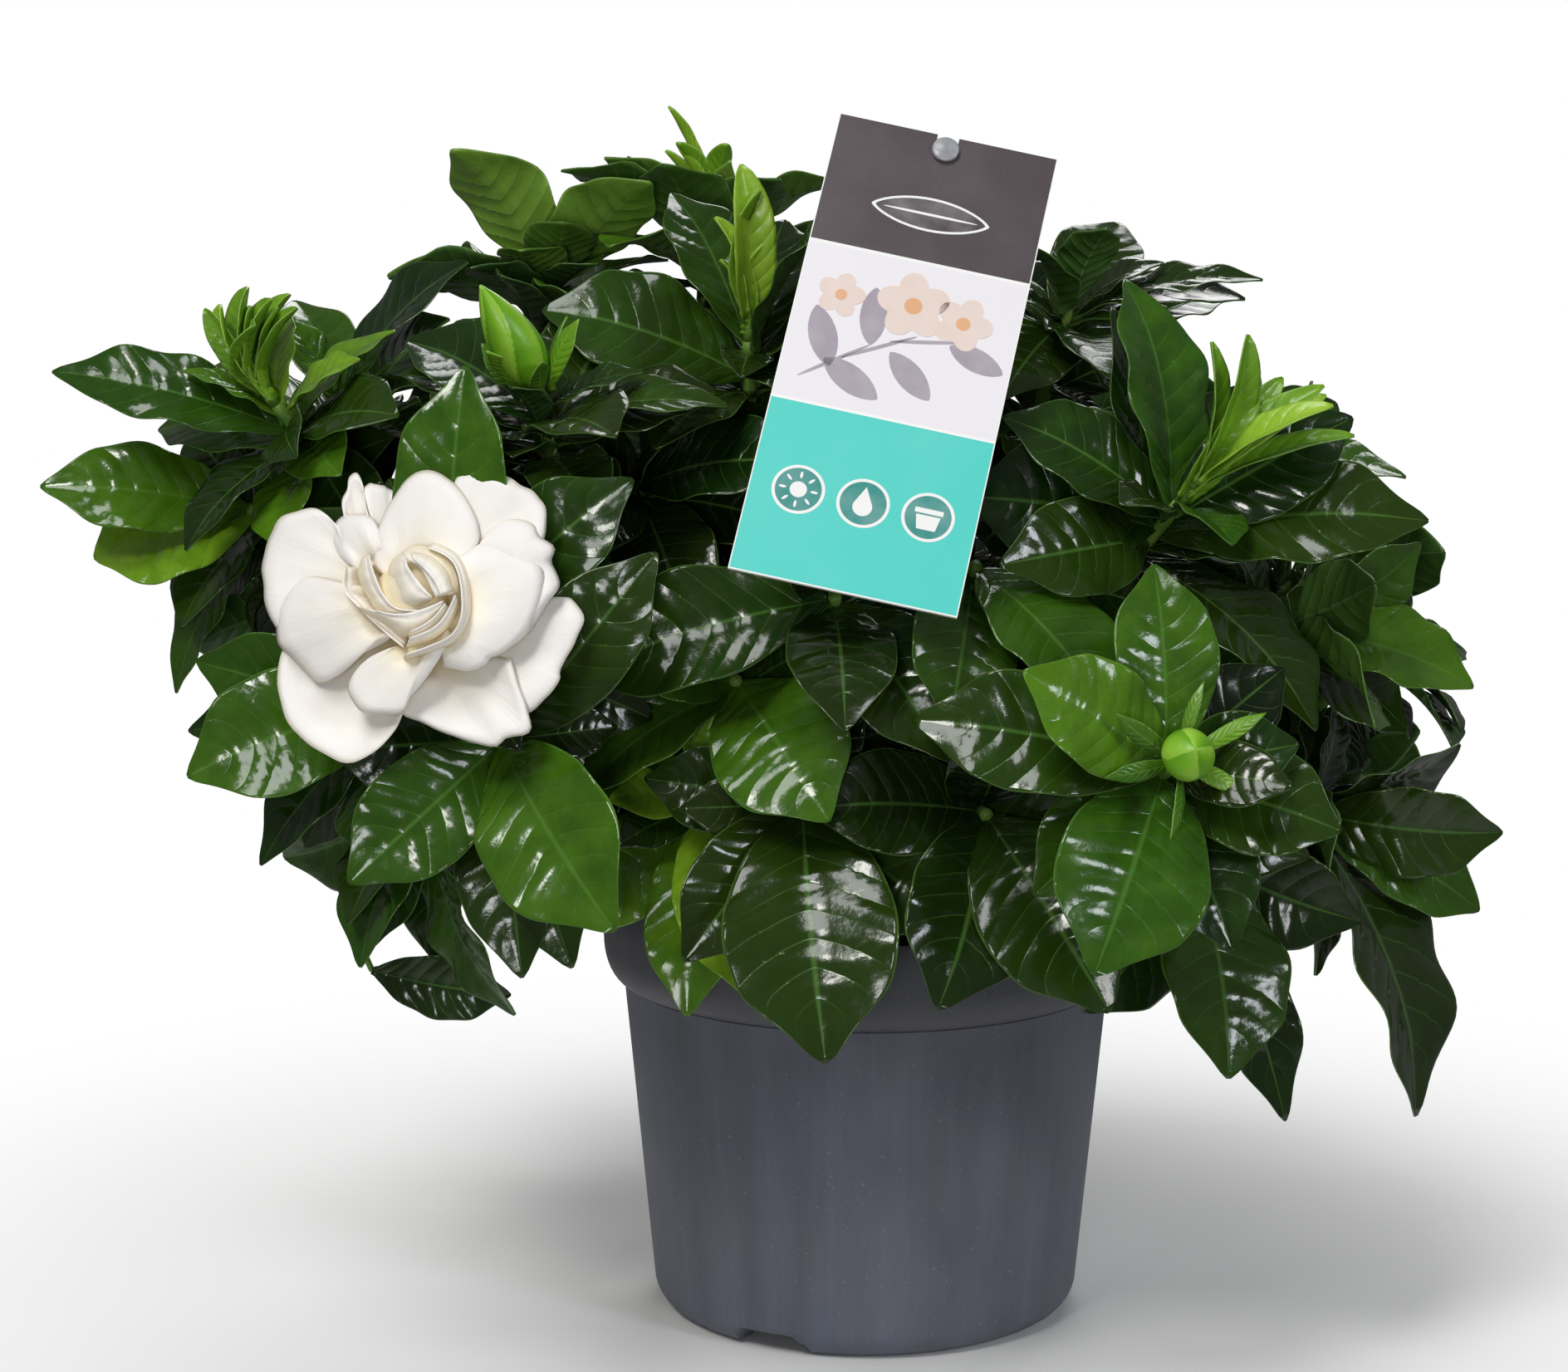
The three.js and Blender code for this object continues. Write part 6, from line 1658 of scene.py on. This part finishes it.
def makeStake():
    sink = newSink()
    cardTop = cardFoot + cardUp * card["height"]
    foot = np.array(card["stakeFoot"], float)
    behind = gap + card["stakeThickness"] / 2 + 0.4
    head = cardTop - cardUp * 2 - cardFacing * behind
    along = unit(head - foot)
    side = unit(np.cross(along, cardFacing))
    over = np.cross(side, along)
    outline = [(-1, -0.6), (-0.85, -1), (0.85, -1), (1, -0.6), (1, 0.6), (0.85, 1), (-0.85, 1), (-1, 0.6)]
    rings = []
    for share in np.linspace(0, 1, 16):
        centre = foot + (head - foot) * share
        narrow = 0.45 + 0.55 * min(1, share * 12)  # drawn in towards its foot
        for a, b in outline:
            rings.append(
                centre + side * a * card["stakeWidth"] / 2 * narrow + over * b * card["stakeThickness"] / 2
            )
    pour(sink, rings, [face[::-1] for face in closedRound(16, len(outline))])
    # the round head in front of the card, and the pin through its notch
    centre = cardTop + cardUp * (card["notchWidth"] / 2 - card["notchDepth"])
    front = card["thickness"] + gap
    radius, depth = card["stakeHeadRadius"], card["stakeHeadDepth"]
    steps = [(0, radius - 0.3), (0.25, radius), (depth - 0.3, radius), (depth, radius - 0.4)]
    pourTube(sink, [centre + cardFacing * (front + h) for h, r in steps], [r for h, r in steps], 32)
    pin = [centre + cardFacing * h for h in (-2, 0, front + 0.5)]
    pourTube(sink, pin, [card["notchWidth"] / 2 - 0.5] * 3, 20)
    makePiece("label_stake_clear", sink, [clearPlastic], ["label_stake"])


makeStake()
print("label made")

# Camera where the photograph was taken from, a pale floor and soft studio lights
view = {"place": (0, -964, 325), "pitch": 9.05, "turn": 1.34, "lens": 82.37, "sensor": 36}
cameraData = bpy.data.cameras.new("camera")
cameraData.lens = view["lens"]
cameraData.sensor_width = view["sensor"]
camera = addToScene("camera", cameraData, Vector(view["place"]) * metres)
camera.rotation_euler = (math.radians(90 - view["pitch"]), 0, math.radians(view["turn"]))
bpy.context.scene.camera = camera

floorSheet = {"half": 30, "solidTo": 0.1, "goneFrom": 0.4}  # metres
floorMesh = bpy.data.meshes.new("floor")
floorMesh.from_pydata(
    [(x * floorSheet["half"], y * floorSheet["half"], 0) for x, y in [(-1, -1), (1, -1), (1, 1), (-1, 1)]],
    [], [(0, 1, 2, 3)],
)
floorMaterial, add, floorShader = newMaterial("palePaper", Roughness=0.9)
where = add("TexCoord", pick="Object")
paper = add("TexNoise", {"Vector": where, "Scale": 1 / (300 * metres), "Detail": 2})
# the sheet thins out away from the pot, so that it meets the white backdrop without an edge
distance = add("VectorMath LENGTH", [where], pick="Value")
thinning = {"Value": distance, 1: floorSheet["solidTo"], 2: floorSheet["goneFrom"], 3: 1, 4: 0}
wire(
    floorShader, Base_Color=add("ValToRGB", [paper], stops=[(0.3, "#f1f1f1"), (0.7, "#f6f6f6")]),
    Alpha=add("MapRange", thinning, pick="Result", interpolation_type="SMOOTHSTEP"),
)
floorMesh.materials.append(floorMaterial)
addToScene("floor", floorMesh)

# Places in metres
lights = {
    "key": {"place": (-0.6, -1.15, 1.3), "size": 0.36, "watts": 8.4, "colour": "#fffdf8"},
    "fill": {"place": (1.0, -0.95, 0.6), "size": 0.34, "watts": 4.5, "colour": "#f4f8ff"},
    "front": {"place": (-0.15, -1.5, 0.28), "size": 0.32, "watts": 3.6, "colour": "#ffffff"},
    "back": {"place": (0.25, 1.2, 1.1), "size": 0.9, "watts": 8, "colour": "#ffffff"},
}
lampsAim = Vector((0, 0, 0.18))  # the middle of the plant
for name, settings in lights.items():
    lamp = bpy.data.lights.new(name, "AREA")
    lamp.shape = "DISK"
    lamp.size = settings["size"]
    lamp.energy = settings["watts"]
    lamp.color = tint(settings["colour"])[:3]
    light = addToScene(name, lamp, settings["place"])
    light.rotation_euler = (lampsAim - light.location).to_track_quat("-Z", "Y").to_euler()
# a wide overhead softbox, even over the whole floor
overhead = {"from": (-0.25, -0.45, 1.0), "strength": 1.15, "angle": 24}
softbox = bpy.data.lights.new("overhead", "SUN")
softbox.energy = overhead["strength"]
softbox.angle = math.radians(overhead["angle"])
towards = (-Vector(overhead["from"])).to_track_quat("-Z", "Y")
addToScene("overhead", softbox).rotation_euler = towards.to_euler()
# the backdrop shows white, but gives the glossy leaves only a dim, even light
backdrop = {"seen": 1.0, "lights": 0.13}
world = bpy.data.worlds.new("studio")
world.use_nodes = True
background = world.node_tree.nodes["Background"]
background.inputs["Color"].default_value = tint("#ffffff")
seen = addNode(world.node_tree, "LightPath", pick="Is Camera Ray")
extra = backdrop["seen"] - backdrop["lights"]
wire(background, Strength=addNode(world.node_tree, "Math MULTIPLY_ADD", [seen, extra, backdrop["lights"]]))
bpy.context.scene.world = world
bpy.context.scene.view_settings.view_transform = "Standard"  # colours as their hex values say
print("camera and lights set")
